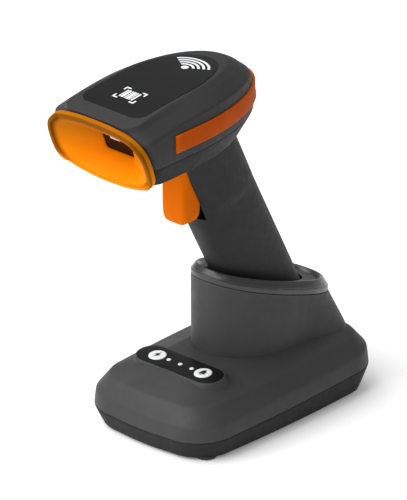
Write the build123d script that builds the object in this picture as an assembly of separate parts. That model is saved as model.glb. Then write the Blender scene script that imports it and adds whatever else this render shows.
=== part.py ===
"""Cordless handheld barcode scanner standing in its charging cradle.

Row frame: +Z up, the nose of the scanner looks along -Y, X = 0 is the mirror plane.
The origin is the middle of the whole object's footprint box, on the surface it stands on.
Lengths are in millimetres. Every piece is written to parts/NODE.step by a function of its own.
"""
from build123d import *
import os
from math import atan, cos, degrees, pi, radians, sin, tan

os.makedirs("parts", exist_ok=True)

# ---------------------------------------------------------------- driving dimensions
FOOT = 1.2              # the rubber feet lift the cradle by this
BASE_HALF = 47.3        # half the cradle's widest line
BASE_FRONT, BASE_REAR = -58.0, 94.2
BASE_CORNER = 26.0

LEAN = 27.6             # the grip leans back from the vertical by this angle
GRIP_Y, GRIP_Z = 24.0, 96.0   # a point on the grip's axis
GRIP_HALF = 16.6        # half the grip's width
GRIP_END = -62.0        # the grip's lower end, measured along its axis from that point

COLLAR_HALF = 27.0      # half the width of the cradle's collar
COLLAR_FRONT, COLLAR_REAR = -3.6, 84.5
RIM_FRONT_Z, RIM_FALL = 81.0, 0.345   # where the rim starts, and its fall to the rear

HEAD_HALF = 35.4
HEAD_FRONT_Z, NOSE_SLOPE = 203.0, 0.364   # the nose face leans back by this much per mm down
NOSE_Y = -89.5          # housing's front edge at HEAD_FRONT_Z
SEAM_Z = 184.0          # head cover above, head tray below
TOP_Z = 213.4
CROWN_Y, CROWN_RADIUS = -24.0, 420.0
WALL = 2.2
GAP = 0.15              # left between neighbouring mouldings


def write(shape, name):
    """One node: its solids, to parts/NAME.step."""
    shape.label = name
    export_step(shape, f"parts/{name}.step")


def ring(points):
    """Face inside one smooth closed curve."""
    return make_face(Spline(points, periodic=True))


def stack(faces):
    """Solid through a row of sections, with a crease at each one."""
    return loft(faces, ruled=True)


def block(x0, x1, y0, y1, z0, z1):
    return Pos((x0 + x1) / 2, (y0 + y1) / 2, (z0 + z1) / 2) * Box(abs(x1 - x0), abs(y1 - y0), abs(z1 - z0))


def post(x, y, z0, z1, radius):
    return Pos(x, y, (z0 + z1) / 2) * Cylinder(radius, abs(z1 - z0))


# ---------------------------------------------------------------- cradle outlines
def pad(d_side, d_front, d_rear, z_front, z_rear, corner, bow=1.0, inset=0.0):
    """Outline of the cradle's base at one level, set in from its widest line."""
    half = BASE_HALF - d_side - inset
    front, rear = BASE_FRONT + d_front + inset, BASE_REAR - d_rear - inset
    corner = max(corner - inset, 4)
    mid, k = (front + rear) / 2, (z_rear - z_front) / (BASE_REAR - BASE_FRONT)

    def at(x, y):
        return (x, y, z_front + k * (y - BASE_FRONT))
    edges = [
        ThreePointArc(at(-half + corner, front + bow * 0.6), at(0, front), at(half - corner, front + bow * 0.6)),
        ThreePointArc(at(half - corner, front + bow * 0.6),
                      at(half - corner * 0.30, front + corner * 0.33), at(half - bow * 0.5, front + corner)),
        ThreePointArc(at(half - bow * 0.5, front + corner), at(half, mid), at(half - bow * 0.5, rear - corner)),
        ThreePointArc(at(half - bow * 0.5, rear - corner),
                      at(half - corner * 0.30, rear - corner * 0.33), at(half - corner, rear - bow * 0.6)),
        ThreePointArc(at(half - corner, rear - bow * 0.6), at(0, rear), at(-half + corner, rear - bow * 0.6)),
        ThreePointArc(at(-half + corner, rear - bow * 0.6),
                      at(-half + corner * 0.30, rear - corner * 0.33), at(-half + bow * 0.5, rear - corner)),
        ThreePointArc(at(-half + bow * 0.5, rear - corner), at(-half, mid), at(-half + bow * 0.5, front + corner)),
        ThreePointArc(at(-half + bow * 0.5, front + corner),
                      at(-half + corner * 0.30, front + corner * 0.33), at(-half + corner, front + bow * 0.6)),
    ]
    return make_face(edges)


def base_sections(inset=0.0, drop=0.0):
    """Widest line, top of the side band, soft upper edge, and the crown the collar stands on."""
    return [
        pad(0.0, 0.0, 0.0, 12.2, 15.4, BASE_CORNER, 2.4, inset),
        pad(1.2, 1.2, 1.6, 20.0 - drop, 24.6 - drop, BASE_CORNER - 2, 2.4, inset),
        pad(7.8, 7.4, 6.5, 29.8 - drop, 31.8 - drop, BASE_CORNER - 5, 2.4, inset),
        pad(27.0, 26.0, 22.0, 37.2 - drop, 38.6 - drop, 14, 1.5, inset),
    ]


def pan_sections(inset=0.0):
    return [
        pad(3.6, 4.2, 4.4, FOOT, FOOT, BASE_CORNER - 2, 2.4, inset),
        pad(0.0, 0.0, 0.0, 12.2, 15.4, BASE_CORNER, 2.4, inset),
    ]


def collar_ring(half, front, rear, z_at, flare=0.0, n=2.35, count=28):
    """Outline of the collar: rounded front, long sides, rear that may flare out to the sides."""
    mid, reach = (front + rear) / 2, (rear - front) / 2
    points = []
    for i in range(count):
        a = 2 * pi * (i + 0.5) / count
        c, s = cos(a), sin(a)
        x = half * (abs(c) ** (2 / n)) * (1 if c > 0 else -1)
        y = mid + reach * (abs(s) ** (2 / n)) * (1 if s > 0 else -1)
        late = max(0.0, (y - 52.0) / (rear - 52.0))
        x += (1 if x > 0 else -1) * flare * late * (abs(x) / half) ** 0.35
        points.append((x, y, z_at(y)))
    return ring(points)


def rim_plane(lift):
    return lambda y: RIM_FRONT_Z + lift - RIM_FALL * (y - COLLAR_FRONT)


def collar_solid(inset=0.0, low=20.0, lift=0.0):
    """The collar from inside the base up to its rim, its rear flaring down to the base."""
    half, front, rear = COLLAR_HALF - inset, COLLAR_FRONT + inset, COLLAR_REAR - inset
    return stack([
        collar_ring(half, front, rear + 6.0, lambda y: low, 18.0 - inset * 0.2),
        collar_ring(half, front, rear + 4.0, lambda y: 31.0, 17.0 - inset * 0.2),
        collar_ring(half, front, rear, rim_plane(lift)),
    ])


# ---------------------------------------------------------------- grip outlines
def grip_ring(s, half, front, rear, level=0.52, n=2.3, count=28):
    """Section of the grip at s along its axis; level is the rise of its plane per mm to the rear."""
    lean = radians(LEAN)
    y0, z0 = GRIP_Y - s * sin(lean), GRIP_Z + s * cos(lean)
    points = []
    for i in range(count):
        a = 2 * pi * (i + 0.5) / count
        c, t = cos(a), sin(a)
        x = half * (abs(c) ** (2 / n)) * (1 if c > 0 else -1)
        depth = (rear if t > 0 else front) * (abs(t) ** (2 / n)) * (1 if t > 0 else -1)
        # walk along the grip's depth direction, then slide along the axis to reach the plane
        y, z = depth * cos(lean), depth * sin(lean)
        slide = (level * y - z) / (cos(lean) + level * sin(lean))
        points.append((x, y0 + y - slide * sin(lean), z0 + z + slide * cos(lean)))
    return ring(points)


def grip_sections(inset=0.0):
    """The grip from its end cap up into the head, with the swell behind the trigger."""
    g = inset
    return [
        grip_ring(GRIP_END + 5, GRIP_HALF - 0.4 - g, 21.4 - g, 21.6 - g),
        grip_ring(10, GRIP_HALF - g, 22.2 - g, 22.2 - g),
        grip_ring(40, GRIP_HALF + 0.1 - g, 22.2 - g, 22.8 - g, 0.21),
        grip_ring(43, GRIP_HALF + 1.4 - g, 21.6 - g, 23.0 - g, 0.19),
        grip_ring(52, GRIP_HALF + 1.7 - g, 20.6 - g, 23.6 - g, 0.05),
        grip_ring(64, GRIP_HALF + 1.2 - g, 20.8 - g, 24.2 - g, 0.0),
        grip_ring(92, GRIP_HALF + 1.0 - g, 14.0 - g, 25.0 - g, 0.0),
    ]


def along_grip(s, depth=0.0):
    """A plane across the grip at s, its z along the axis and its y to the rear."""
    lean = radians(LEAN)
    origin = (0, GRIP_Y - s * sin(lean) + depth * cos(lean), GRIP_Z + s * cos(lean) + depth * sin(lean))
    return Plane(origin=origin, x_dir=(1, 0, 0), z_dir=(0, -sin(lean), cos(lean)))


# ---------------------------------------------------------------- head outlines
def head_ring(z, half, front, rear, turn, corner, inset=0.0, arch=0.0):
    """Outline of the head: square front with eased corners, sides that close like an ellipse.

    arch lowers the outline towards the nose and the rear, as a share of the crown's own curve.
    """
    half, front, rear, corner = half - inset, front + inset, rear - inset, max(corner - inset, 1.0)

    def at(x, y):
        return (x, y, z - arch * (y - CROWN_Y) ** 2 / (2 * CROWN_RADIUS))

    def side(sign):
        eased, mid = corner * 0.29, (front + corner + turn) / 2
        bend = ThreePointArc(at(sign * (half - corner), front), at(sign * (half - eased), front + eased),
                             at(sign * half, front + corner))
        return bend, ThreePointArc(at(sign * half, front + corner), at(sign * half, mid + 0.001),
                                   at(sign * half, turn)) if arch else Line(
            at(sign * half, front + corner), at(sign * half, turn))
    tail = Spline([at(half * cos(pi * i / 12), turn + (rear - turn) * sin(pi * i / 12)) for i in range(13)],
                  tangents=[(0, 1, 0), (0, -1, 0)])
    (bend_r, line_r), (bend_l, line_l) = side(1), side(-1)
    return Wire([Line(at(-half + corner, front), at(half - corner, front)), bend_r, line_r, tail, line_l, bend_l])


def nose_at(z, ahead=0.0):
    """Y of the slanted nose face at a height."""
    return NOSE_Y - ahead + (HEAD_FRONT_Z - z) * NOSE_SLOPE


def hull(wires):
    """Solid through closed outlines, with a crease at each one."""
    return Solid.make_loft(wires, ruled=True)


def crown(top):
    """Everything under the crowned top surface."""
    return Pos(0, CROWN_Y, top - CROWN_RADIUS) * Rot(0, 90, 0) * Cylinder(CROWN_RADIUS, 120)


def cover_outside(inset=0.0, drop=0.0):
    """The cover's form: upright walls, a sloping shoulder all the way round and a crowned top."""
    g = inset
    walls = hull([
        head_ring(SEAM_Z + GAP / 2, HEAD_HALF + 0.1, nose_at(SEAM_Z), 26.4, -52, 6, g),
        head_ring(195.0, HEAD_HALF + 0.5, nose_at(195.0), 26.6, -50, 6, g),
        head_ring(206.4 - drop * 0.5, HEAD_HALF - 0.2, nose_at(200.2), 22.6, -46, 7, g, 1.3),
        head_ring(210.8 - drop, HEAD_HALF - 7.4, nose_at(205.0) + 0.2, 15.5, -45, 9, g, 1.1),
        head_ring(215.0 - drop, HEAD_HALF - 15.0, nose_at(213.1), 4.0, -44, 9, g),
    ])
    return walls & crown(TOP_Z - drop)


def tray_sections(inset=0.0, lift=0.0):
    g = inset
    return [
        head_ring(167.6 + lift, 21.0, nose_at(167.6), 0, -44, 8, g),
        head_ring(171.8 + lift, 30.6, nose_at(171.8), 16, -54, 8, g),
        head_ring(SEAM_Z - GAP / 2, HEAD_HALF + 0.1, nose_at(SEAM_Z), 26.4, -52, 6, g),
    ]


# ---------------------------------------------------------------- nose outlines
NOSE_MID_Z = 187.0
WINDOW_LIFT = -5.2      # the window sits this far below the middle of the mouth
NOSE_TILT = degrees(atan(NOSE_SLOPE))


def nose_plane(ahead):
    """Plane of the slanted nose face; y runs up it, z points out of the nose."""
    t = radians(NOSE_TILT)
    y = nose_at(NOSE_MID_Z) - ahead * cos(t) ** 2
    return Plane(origin=(0, y, NOSE_MID_Z - ahead * cos(t) * sin(t)), x_dir=(1, 0, 0), z_dir=(0, -cos(t), -sin(t)))


def nose_outline(inset=0.0):
    """The D-shaped mouth: nearly flat top, full sides, bowed bottom."""
    right = [(0, 21.5), (13, 21.0), (25, 18.7), (32.2, 13.4), (35.2, 6.5), (35.5, -4.0), (33.6, -11.6),
             (26.5, -17.2), (14, -20.3)]
    points = right + [(0, -21.2)] + [(-x, y) for x, y in reversed(right[1:])]
    sx, sy = (35.4 - inset) / 35.4, (21.4 - inset) / 21.4
    return make_face(Spline([(x * sx, y * sy) for x, y in points], periodic=True))


def nose_slab(ahead0, ahead1, inset=0.0):
    """The mouth's outline carried from one depth of the nose to another."""
    step = (ahead1 - ahead0) * cos(radians(NOSE_TILT))
    return extrude(nose_plane(ahead0) * nose_outline(inset), amount=step)


def window_face(half, high, back, lift=WINDOW_LIFT):
    """Rectangle with eased corners, parallel to the nose face and this far behind it."""
    plane = nose_plane(-back)
    return plane * Pos(0, lift, 0) * RectangleRounded(2 * half, 2 * high, 2.0)


def mouth_funnel(inset, back, half, high, ahead=5.0):
    """The tapered mouth from its front edge down to the scan window."""
    front = nose_plane(ahead) * nose_outline(inset)
    return loft([front.face(), window_face(half, high, back).face()], ruled=True)


# ---------------------------------------------------------------- solids the others are cut with
def grip_outside(inset=0.0):
    return stack(grip_sections(inset))


def grip_tube(inset, low, high):
    """Straight run of the grip's section along its axis."""
    return stack([
        grip_ring(low, GRIP_HALF - inset, 22.2 - inset, 22.2 - inset),
        grip_ring(high, GRIP_HALF - inset, 22.2 - inset, 22.2 - inset),
    ])


def tray_outside(inset=0.0, lift=0.0):
    return hull(tray_sections(inset, lift))


def collar_core():
    """Everything the collar stands on: the base's outer form and the space below it."""
    return stack(base_sections()) + block(-60, 60, -70, 100, -5, 13)


TRIGGER_HALF = 8.6
PIVOT_Y, PIVOT_Z = -16.0, 173.0
POCKET_BACK = -11.0


def trigger_pocket():
    return block(-9.3, 9.3, -40, POCKET_BACK, 122.8, 168.5) + block(-9.9, 9.9, -36, -8.0, 162, 179.0)


# ---------------------------------------------------------------- head
PANEL_FRONT, PANEL_REAR, PANEL_HALF = -80.5, 0.5, 22.3


def panel_outline(inset=0.0):
    """The black plate's outline: square front with round corners, sides closing to a round rear."""
    half, front, rear, r = PANEL_HALF - inset, PANEL_FRONT + inset, PANEL_REAR - inset, 7.5
    tail = Spline([(half * cos(pi * i / 12), -44 + (rear + 44) * sin(pi * i / 12)) for i in range(13)],
                  tangents=[(0, 1), (0, -1)])
    e = 0.29 * r
    return make_face([
        ThreePointArc((-half + r, front), (0, front - 0.8), (half - r, front)),
        ThreePointArc((half - r, front), (half - e, front + e), (half, front + r)),
        Line((half, front + r), (half, -44)), tail, Line((-half, -44), (-half, front + r)),
        ThreePointArc((-half, front + r), (-half + e, front + e), (-half + r, front)),
    ])


def panel_block(inset, top, thick):
    """The plate's outline between two crowned surfaces."""
    column = extrude(Pos(0, 0, 195) * panel_outline(inset), amount=30)
    return (column & crown(top)) - crown(top - thick)


STRIPE_LOW, STRIPE_HIGH, STRIPE_FRONT = 189.4, 199.6, -65.5


def stripe_block(out, inside):
    """The band round the head's sides and rear, between an outer and an inner offset."""
    outer = hull([head_ring(STRIPE_LOW, HEAD_HALF + 0.4, -95, 26.6, -50, 6, -out),
                  head_ring(STRIPE_HIGH, HEAD_HALF + 0.4, -95, 25.2, -48, 6, -out)])
    inner = hull([head_ring(STRIPE_LOW - 1, HEAD_HALF + 0.4, -99, 26.6, -50, 6, inside),
                  head_ring(STRIPE_HIGH + 1, HEAD_HALF + 0.4, -99, 25.2, -48, 6, inside)])
    return (outer - inner) & block(-60, 60, STRIPE_FRONT, 60, 150, 230)


def head_cover():
    cavity = hull([
        head_ring(SEAM_Z - 1, HEAD_HALF, nose_at(SEAM_Z) - 6, 26.4, -52, 6, WALL + 1.2),
        head_ring(203.0, HEAD_HALF, nose_at(203) - 6, 22.0, -46, 7, WALL + 1.2),
        head_ring(209.0, HEAD_HALF - 14.0, -78.0, 0.0, -44, 9, WALL),
    ])
    cover = cover_outside() - (cavity & crown(TOP_Z - 4.2))
    cover = cover - nose_slab(-14, 12, 2.6)
    cover = cover - panel_block(-GAP, TOP_Z + 4, 5.0)
    return cover - stripe_block(3.0, 0.9) - post(0, -10, 190, 220, 1.75)


def head_tray():
    cavity = hull([
        head_ring(170.0, 19.5, nose_at(170) - 6, -3, -44, 8, WALL),
        head_ring(174.0, 30.6, nose_at(174) - 6, 16, -54, 8, WALL),
        head_ring(SEAM_Z + 1, HEAD_HALF, nose_at(SEAM_Z) - 6, 26.4, -52, 6, WALL),
    ])
    tray = tray_outside() - cavity - nose_slab(-14, 12, 2.6) - trigger_pocket()
    throat = grip_tube(WALL + 1.5, 60, 100) & block(-30, 30, -7, 60, 150, 200)
    return tray - throat


def nose_bezel():
    """Orange mouth: a flange on the nose face, side bumpers, and the funnel to the window."""
    flange = nose_slab(0.2, 3.6, -0.2)
    brow = nose_slab(0.2, 5.0, 0.5) & (block(-40, -26.5, -120, -60, 172.5, 206) + block(26.5, 40, -120, -60, 172.5, 206))
    sleeve = nose_slab(-3.0, 0.3, 2.9)
    walls = mouth_funnel(2.9, 12.6, 12.6, 8.0, 0.3)
    mouth = mouth_funnel(3.0, 10.6, 10.4, 5.9, 7.0)
    port = extrude(window_face(10.4, 5.9, 10.0), amount=-8)
    seat = extrude(window_face(11.2, 6.7, 11.4), amount=-8)
    return flange + brow + sleeve + walls - mouth - port - seat


def scan_window():
    return extrude(window_face(11.1, 6.6, 11.5), amount=-1.4)


def top_panel():
    return panel_block(0.0, TOP_Z + 0.15, 1.0)


def bumper_band():
    return stripe_block(1.0, 0.75)


def engine_housing():
    box = extrude(window_face(12.0, 8.4, 13.6), amount=-16)
    for x in (-5.5, 5.5):
        bore = nose_plane(-13.0) * Pos(x, WINDOW_LIFT, 0) * Cylinder(2.6, 8)
        box -= bore
    return box


def engine_lens():
    return nose_plane(-13.0) * Pos(-5.5, WINDOW_LIFT, -2.6) * Cylinder(2.5, 2.2)


def aimer_lens():
    return nose_plane(-13.0) * Pos(5.5, WINDOW_LIFT, -2.6) * Cylinder(2.5, 2.2)


def engine_board():
    return extrude(window_face(13.5, 9.6, 31.2), amount=-1.4)


def main_board():
    return block(-22, 22, -50, 0, 192.0, 193.6)


def board_chips():
    return Compound(children=[
        block(-10, 2, -34, -22, 193.65, 195.2), block(8, 16, -30, -20, 193.65, 194.8),
        block(-14, -6, -14, -6, 193.65, 195.0), block(6, 13, -14, -5, 193.65, 195.4),
    ])


def radio_module():
    return block(-15, 1, -48.5, -38, 193.65, 196.0)


def beeper():
    return post(10, -38, 193.65, 199.0, 5.5) - post(10, -38, 198.0, 200.0, 1.0)


BOARD_SCREWS = ((-19.0, -4.0), (19.0, -4.0), (-19.0, -46.0), (19.0, -46.0))


def board_screws():
    screws = [post(x, y, 193.7, 195.6, 2.0) + post(x, y, 188.0, 193.8, 0.95)
              for x, y in BOARD_SCREWS]
    return Compound(children=screws)


def board_holes():
    holes = [post(x, y, 180, 200, 1.05) for x, y in BOARD_SCREWS]
    return holes[0] + holes[1] + holes[2] + holes[3]


def status_light():
    """Round light guide that comes up to the plate's underside near its rear."""
    return post(0, -10, 193.7, TOP_Z - 2.0, 1.6)


# ---------------------------------------------------------------- grip
BATTERY_RADIUS = 9.2


def grip_shell(side):
    """Half of the grip, split on the mirror plane."""
    outer = grip_outside() - tray_outside() - block(-60, 60, -60, 60, 172, 240)
    inner = grip_tube(WALL, GRIP_END + 2, 100)
    shell = outer - (inner & block(-30, 30, POCKET_BACK + 1.6, 90, 20, 200)) - trigger_pocket()
    shell -= block(-5.1, 5.1, POCKET_BACK - 1, POCKET_BACK + 6.1, 140.9, 149.1)
    half = block(GAP / 2, 60, -80, 90, 10, 200) if side > 0 else block(-60, -GAP / 2, -80, 90, 10, 200)
    return keep_largest(shell & half)


def keep_largest(shape):
    solids = shape.solids()
    return max(solids, key=lambda s: s.volume)


def grip_cap():
    """End cap with an eased edge; its underside carries the two charging pads."""
    body = stack([
        grip_ring(GRIP_END, GRIP_HALF - 2.6, 18.8, 19.0),
        grip_ring(GRIP_END + 2.2, GRIP_HALF - 0.6, 21.1, 21.3),
        grip_ring(GRIP_END + 5 - GAP, GRIP_HALF - 0.4, 21.4, 21.6),
    ])
    plane = along_grip(GRIP_END)
    for x in (-6, 6):
        body -= plane * Pos(x, -6, 0.5) * Box(5.3, 8.3, 1.2)
    body -= plane * Pos(0, 8, 0) * Cylinder(2.5, 4.4)
    return body - plane * Pos(0, 8, 0) * Cylinder(1.2, 20)


def charge_pads():
    plane = along_grip(GRIP_END)
    return Compound(children=[plane * Pos(x, -6, 0.55) * Box(5, 8, 0.9) for x in (-6, 6)])


def cap_screw():
    plane = along_grip(GRIP_END)
    head = plane * Pos(0, 8, 1.35) * Cylinder(2.3, 1.5)
    slot = plane * Pos(0, 8, 0.7) * (Box(3.4, 0.7, 1.0) + Box(0.7, 3.4, 1.0))
    return head + plane * Pos(0, 8, 5.0) * Cylinder(1.1, 7) - slot


def battery_pack():
    plane = along_grip(0)
    return plane * Pos(0, 0, -18) * Cylinder(BATTERY_RADIUS, 65)


def battery_ends():
    plane = along_grip(0)
    lower = plane * Pos(0, 0, -51.6) * Cylinder(6.0, 1.8)
    upper = plane * Pos(0, 0, 15.6) * Cylinder(3.0, 1.8)
    return Compound(children=[lower, upper])


def battery_cradle():
    """Inner frame that carries the cell between two rings."""
    plane = along_grip(0)
    frame = plane * Pos(0, 0, -18) * Cylinder(11.6, 72)
    frame -= plane * Pos(0, 0, -18) * Cylinder(BATTERY_RADIUS + 0.15, 90)
    return frame - plane * Pos(0, -8, -18) * Box(40, 12, 52)


# ---------------------------------------------------------------- trigger
def trigger_lever():
    """Finger lever: a crowned pad with skirts, hung from its pivot pin inside the head."""
    side = make_face([
        Line((-14.2, 168.0), (-28.4, 168.0)),
        Spline([(-28.4, 168.0), (-29.6, 148.0), (-28.2, 132.0), (-25.4, 126.0), (-20.0, 124.0)]),
        Line((-20.0, 124.0), (-17.2, 128.5)),
        Line((-17.2, 128.5), (-15.4, 150.0)),
        Line((-15.4, 150.0), (-14.2, 168.0)),
    ])
    pad_part = extrude(Plane.YZ.offset(-TRIGGER_HALF) * side, amount=2 * TRIGGER_HALF)
    front = [e for e in pad_part.edges() if e.center().Y < -22 and abs(abs(e.center().X) - TRIGGER_HALF) < 0.2]
    pad_part = fillet(front, 2.8)
    arm = block(-6.0, 6.0, -20.4, -12.4, 164.0, 175.5)
    boss = Pos(0, PIVOT_Y, PIVOT_Z) * Rot(0, 90, 0) * Cylinder(4.2, 12)
    bore = Pos(0, PIVOT_Y, PIVOT_Z) * Rot(0, 90, 0) * Cylinder(1.56, 40)
    return pad_part + arm + boss - bore


def trigger_pin():
    return Pos(0, PIVOT_Y, PIVOT_Z) * Rot(0, 90, 0) * Cylinder(1.5, 27)


def trigger_bosses():
    """Two lugs inside the tray that hold the pin's ends."""
    lugs = []
    for s in (-1, 1):
        lug = block(s * 10.2, s * 13.4, -20.5, -11.5, 174.5, 178.5)
        lug += Pos(s * 11.8, PIVOT_Y, PIVOT_Z + 1.2) * Rot(0, 90, 0) * Cylinder(3.6, 3.2)
        lugs.append(lug - Pos(0, PIVOT_Y, PIVOT_Z) * Rot(0, 90, 0) * Cylinder(1.52, 40))
    floor = head_tray()
    return Compound(children=[lug - floor for lug in lugs])


def trigger_spring():
    """Torsion spring coiled round the pin beside the lever."""
    rings = [Pos(x, PIVOT_Y, PIVOT_Z) * Rot(0, 90, 0) * Torus(2.5, 0.45) for x in (7.2, 8.05, 8.9)]
    return rings[0] + rings[1] + rings[2]


def trigger_switch():
    body = block(-5, 5, POCKET_BACK + 0.3, POCKET_BACK + 6.0, 141.0, 149.0)
    return body + block(-1.6, 1.6, POCKET_BACK - 1.9, POCKET_BACK + 0.4, 143.6, 146.6)


# ---------------------------------------------------------------- cradle
def cradle_shell():
    """Upper moulding of the base, hollow, with openings for the collar, plate and inlet."""
    outer = stack(base_sections()) + control_bed()
    cavity = stack(base_sections(WALL, 2.4)) + stack([pad(0, 0, 0, 8.0, 11.0, BASE_CORNER, 2.4, WALL),
                                                       pad(0, 0, 0, 14.0, 17.4, BASE_CORNER, 2.4, WALL)])
    shell = outer - cavity
    shell -= grip_tube(-2.6, GRIP_END - 3.6, 60)
    shell -= along_grip(GRIP_END) * Pos(0, -6, -9.6) * Box(22.4, 10.4, 14)
    shell -= control_pocket()
    return shell - inlet_hole()


def cradle_pan():
    outer = stack(pan_sections())
    cavity = stack([pad(3.6, 4.2, 4.4, FOOT + 2.4, FOOT + 2.4, BASE_CORNER - 2, 2.4, WALL + 0.4),
                    pad(0, 0, 0, 14.2, 17.4, BASE_CORNER, 2.4, WALL)])
    seam = stack([pad(0, 0, 0, 12.2 - GAP, 15.4 - GAP, 30, 2.4, -8), pad(0, 0, 0, 22, 25, 30, 2.4, -8)])
    return outer - cavity - seam - foot_pockets()


FEET = ((-34, -40), (34, -40), (-34, 74), (34, 74))


def foot_pockets():
    pockets = [post(x, y, FOOT - 1, FOOT + 0.9, 6.1) for x, y in FEET]
    return pockets[0] + pockets[1] + pockets[2] + pockets[3]


def rubber_feet():
    return Compound(children=[post(x, y, 0, FOOT + 0.85, 6.0) for x, y in FEET])


def grip_clearance(extra=0.0):
    """Room for the grip to slide in and out along its axis."""
    return grip_tube(-0.9 - extra, GRIP_END - 0.2 - extra, 60)


def collar():
    """Round collar that rises from the base, with a buttress running down to the rear."""
    outer = collar_solid() - collar_core()
    inner = stack([
        collar_ring(COLLAR_HALF - WALL, COLLAR_FRONT + WALL, COLLAR_REAR + 6 - WALL, lambda y: 15, 15.5),
        collar_ring(COLLAR_HALF - WALL, COLLAR_FRONT + WALL, COLLAR_REAR + 4 - WALL, lambda y: 31, 14.5),
        collar_ring(COLLAR_HALF - WALL, COLLAR_FRONT + WALL, COLLAR_REAR - WALL, rim_plane(5)),
    ])
    return keep_largest(outer - inner - grip_clearance(1.9))


def collar_rim():
    """Two-band lip round the mouth of the collar."""
    lip = stack([
        collar_ring(COLLAR_HALF, COLLAR_FRONT, COLLAR_REAR, rim_plane(GAP)),
        collar_ring(COLLAR_HALF - 0.2, COLLAR_FRONT + 0.2, COLLAR_REAR - 0.2, rim_plane(3.2)),
        collar_ring(COLLAR_HALF - 4.4, COLLAR_FRONT + 4.2, COLLAR_REAR - 4.6, rim_plane(8.2)),
    ])
    inner = stack([
        collar_ring(COLLAR_HALF - 6.0, COLLAR_FRONT + 5.4, COLLAR_REAR - 6.4, rim_plane(-3)),
        collar_ring(COLLAR_HALF - 6.0, COLLAR_FRONT + 5.4, COLLAR_REAR - 6.4, rim_plane(12)),
    ])
    return keep_largest(lip - inner - grip_clearance(1.8))


def well_liner():
    """Cup the grip stands in: floor, wall, and the deck that closes the collar round it."""
    cup = grip_tube(-2.5, GRIP_END - 3.4, 30) - stack([
        collar_ring(60, -60, 150, rim_plane(5.2), n=2.0), collar_ring(60, -60, 150, rim_plane(120), n=2.0)])
    deck = stack([
        collar_ring(COLLAR_HALF - 6.15, COLLAR_FRONT + 5.55, COLLAR_REAR - 6.55, rim_plane(2.6)),
        collar_ring(COLLAR_HALF - 6.15, COLLAR_FRONT + 5.55, COLLAR_REAR - 6.55, rim_plane(5.2)),
    ])
    plane = along_grip(GRIP_END)
    liner = cup + deck - grip_clearance()
    for x in (-6, 6):
        liner -= plane * Pos(x, -6, -3) * Cylinder(1.35, 12)
    return liner


def contact_pins():
    """Two sprung pins that press on the pads of a docked scanner."""
    plane = along_grip(GRIP_END)
    pins = []
    for x in (-6, 6):
        tip = plane * Pos(x, -6, -3.9) * Cylinder(1.2, 7.9)
        collar_part = plane * Pos(x, -6, -8.6) * Cylinder(1.9, 1.6)
        pins.append(tip + collar_part)
    return Compound(children=pins)


def contact_block():
    plane = along_grip(GRIP_END)
    block_part = plane * Pos(0, -6, -9.6) * Box(22, 10, 11.2)
    for x in (-6, 6):
        block_part -= plane * Pos(x, -6, -3) * Cylinder(1.35, 12)
        block_part -= plane * Pos(x, -6, -10.0) * Cylinder(2.05, 8.0)
    return block_part


def contact_springs():
    plane = along_grip(GRIP_END)
    coils = []
    for x in (-6, 6):
        coil = None
        for z in (-10.3, -10.85, -11.4, -11.95, -12.5, -13.05):
            turn = plane * Pos(x, -6, z) * Torus(1.45, 0.3)
            coil = turn if coil is None else coil + turn
        coils.append(coil)
    return Compound(children=coils)


PLATE_Y, PLATE_Z, PLATE_TILT = -23.4, 38.0, 5.0
PLATE_HALF_LENGTH, PLATE_HALF = 28.8, 8.4
KEY_X, KEY_RADIUS, KEY_TRAVEL = 16.7, 5.0, 0.6


def plate_plane():
    return Plane(origin=(0, PLATE_Y, PLATE_Z), x_dir=(1, 0, 0),
                 z_dir=(0, -sin(radians(PLATE_TILT)), cos(radians(PLATE_TILT))))


def pill(length, half, z0, z1):
    return plate_plane() * Pos(0, 0, z0) * extrude(SlotOverall(2 * length, 2 * half), amount=z1 - z0)


def control_bed():
    """Low bed that carries the black plate level over the falling shoulder."""
    low = plate_plane() * Pos(0, 0, -6.4) * SlotOverall(2 * PLATE_HALF_LENGTH + 6.4, 2 * PLATE_HALF + 6.4)
    high = plate_plane() * SlotOverall(2 * PLATE_HALF_LENGTH + 1.8, 2 * PLATE_HALF + 1.8)
    return loft([low.face(), high.face()], ruled=True)


def control_pocket():
    """Recess for the black plate, and the two key wells under it."""
    cut = pill(PLATE_HALF_LENGTH + GAP, PLATE_HALF + GAP, -1.4, 6.0)
    cut += pill(PLATE_HALF_LENGTH - 2.5, PLATE_HALF - 2.5, -9, 0)
    return cut


def control_plate():
    plate = pill(PLATE_HALF_LENGTH, PLATE_HALF, -1.3, 0.25)
    for x in (-KEY_X, KEY_X):
        plate -= plate_plane() * Pos(x, 0, 0) * Cylinder(KEY_RADIUS + 0.35, 6)
    for x in (-8.4, 0, 8.4):
        plate -= plate_plane() * Pos(x, 0, 0) * Cylinder(1.5, 6)
    return plate


def key_cap(x):
    cap = plate_plane() * Pos(x, 0, -0.35) * Cylinder(KEY_RADIUS, 1.9)
    stem = plate_plane() * Pos(x, 0, -2.2) * Cylinder(2.2, 2.0)
    return cap + stem


def indicator_lights():
    return Compound(children=[plate_plane() * Pos(x, 0, -1.4) * Cylinder(1.4, 3.4) for x in (-8.4, 0, 8.4)])


def key_switches():
    return Compound(children=[plate_plane() * Pos(x, 0, -5.0) * Box(6, 6, 2.2) for x in (-KEY_X, KEY_X)])


def key_board():
    board = plate_plane() * Pos(0, 0, -6.95) * Box(48, 9.6, 1.5)
    return board


def cradle_board():
    return Pos(0, 20, 6.6) * Box(56, 60, 1.6)


def board_parts():
    return Compound(children=[
        block(-14, -2, 4, 16, 7.45, 9.2), block(8, 18, 28, 38, 7.45, 9.0), block(-22, -12, 26, 42, 7.45, 10.5),
    ])


def ballast_plate():
    return block(-25, 25, -44, -10, 4.0, 9.0)


INLET_Z = 9.4


def inlet_hole():
    return Pos(0, 91, INLET_Z) * Box(9.4, 14, 3.7)


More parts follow.
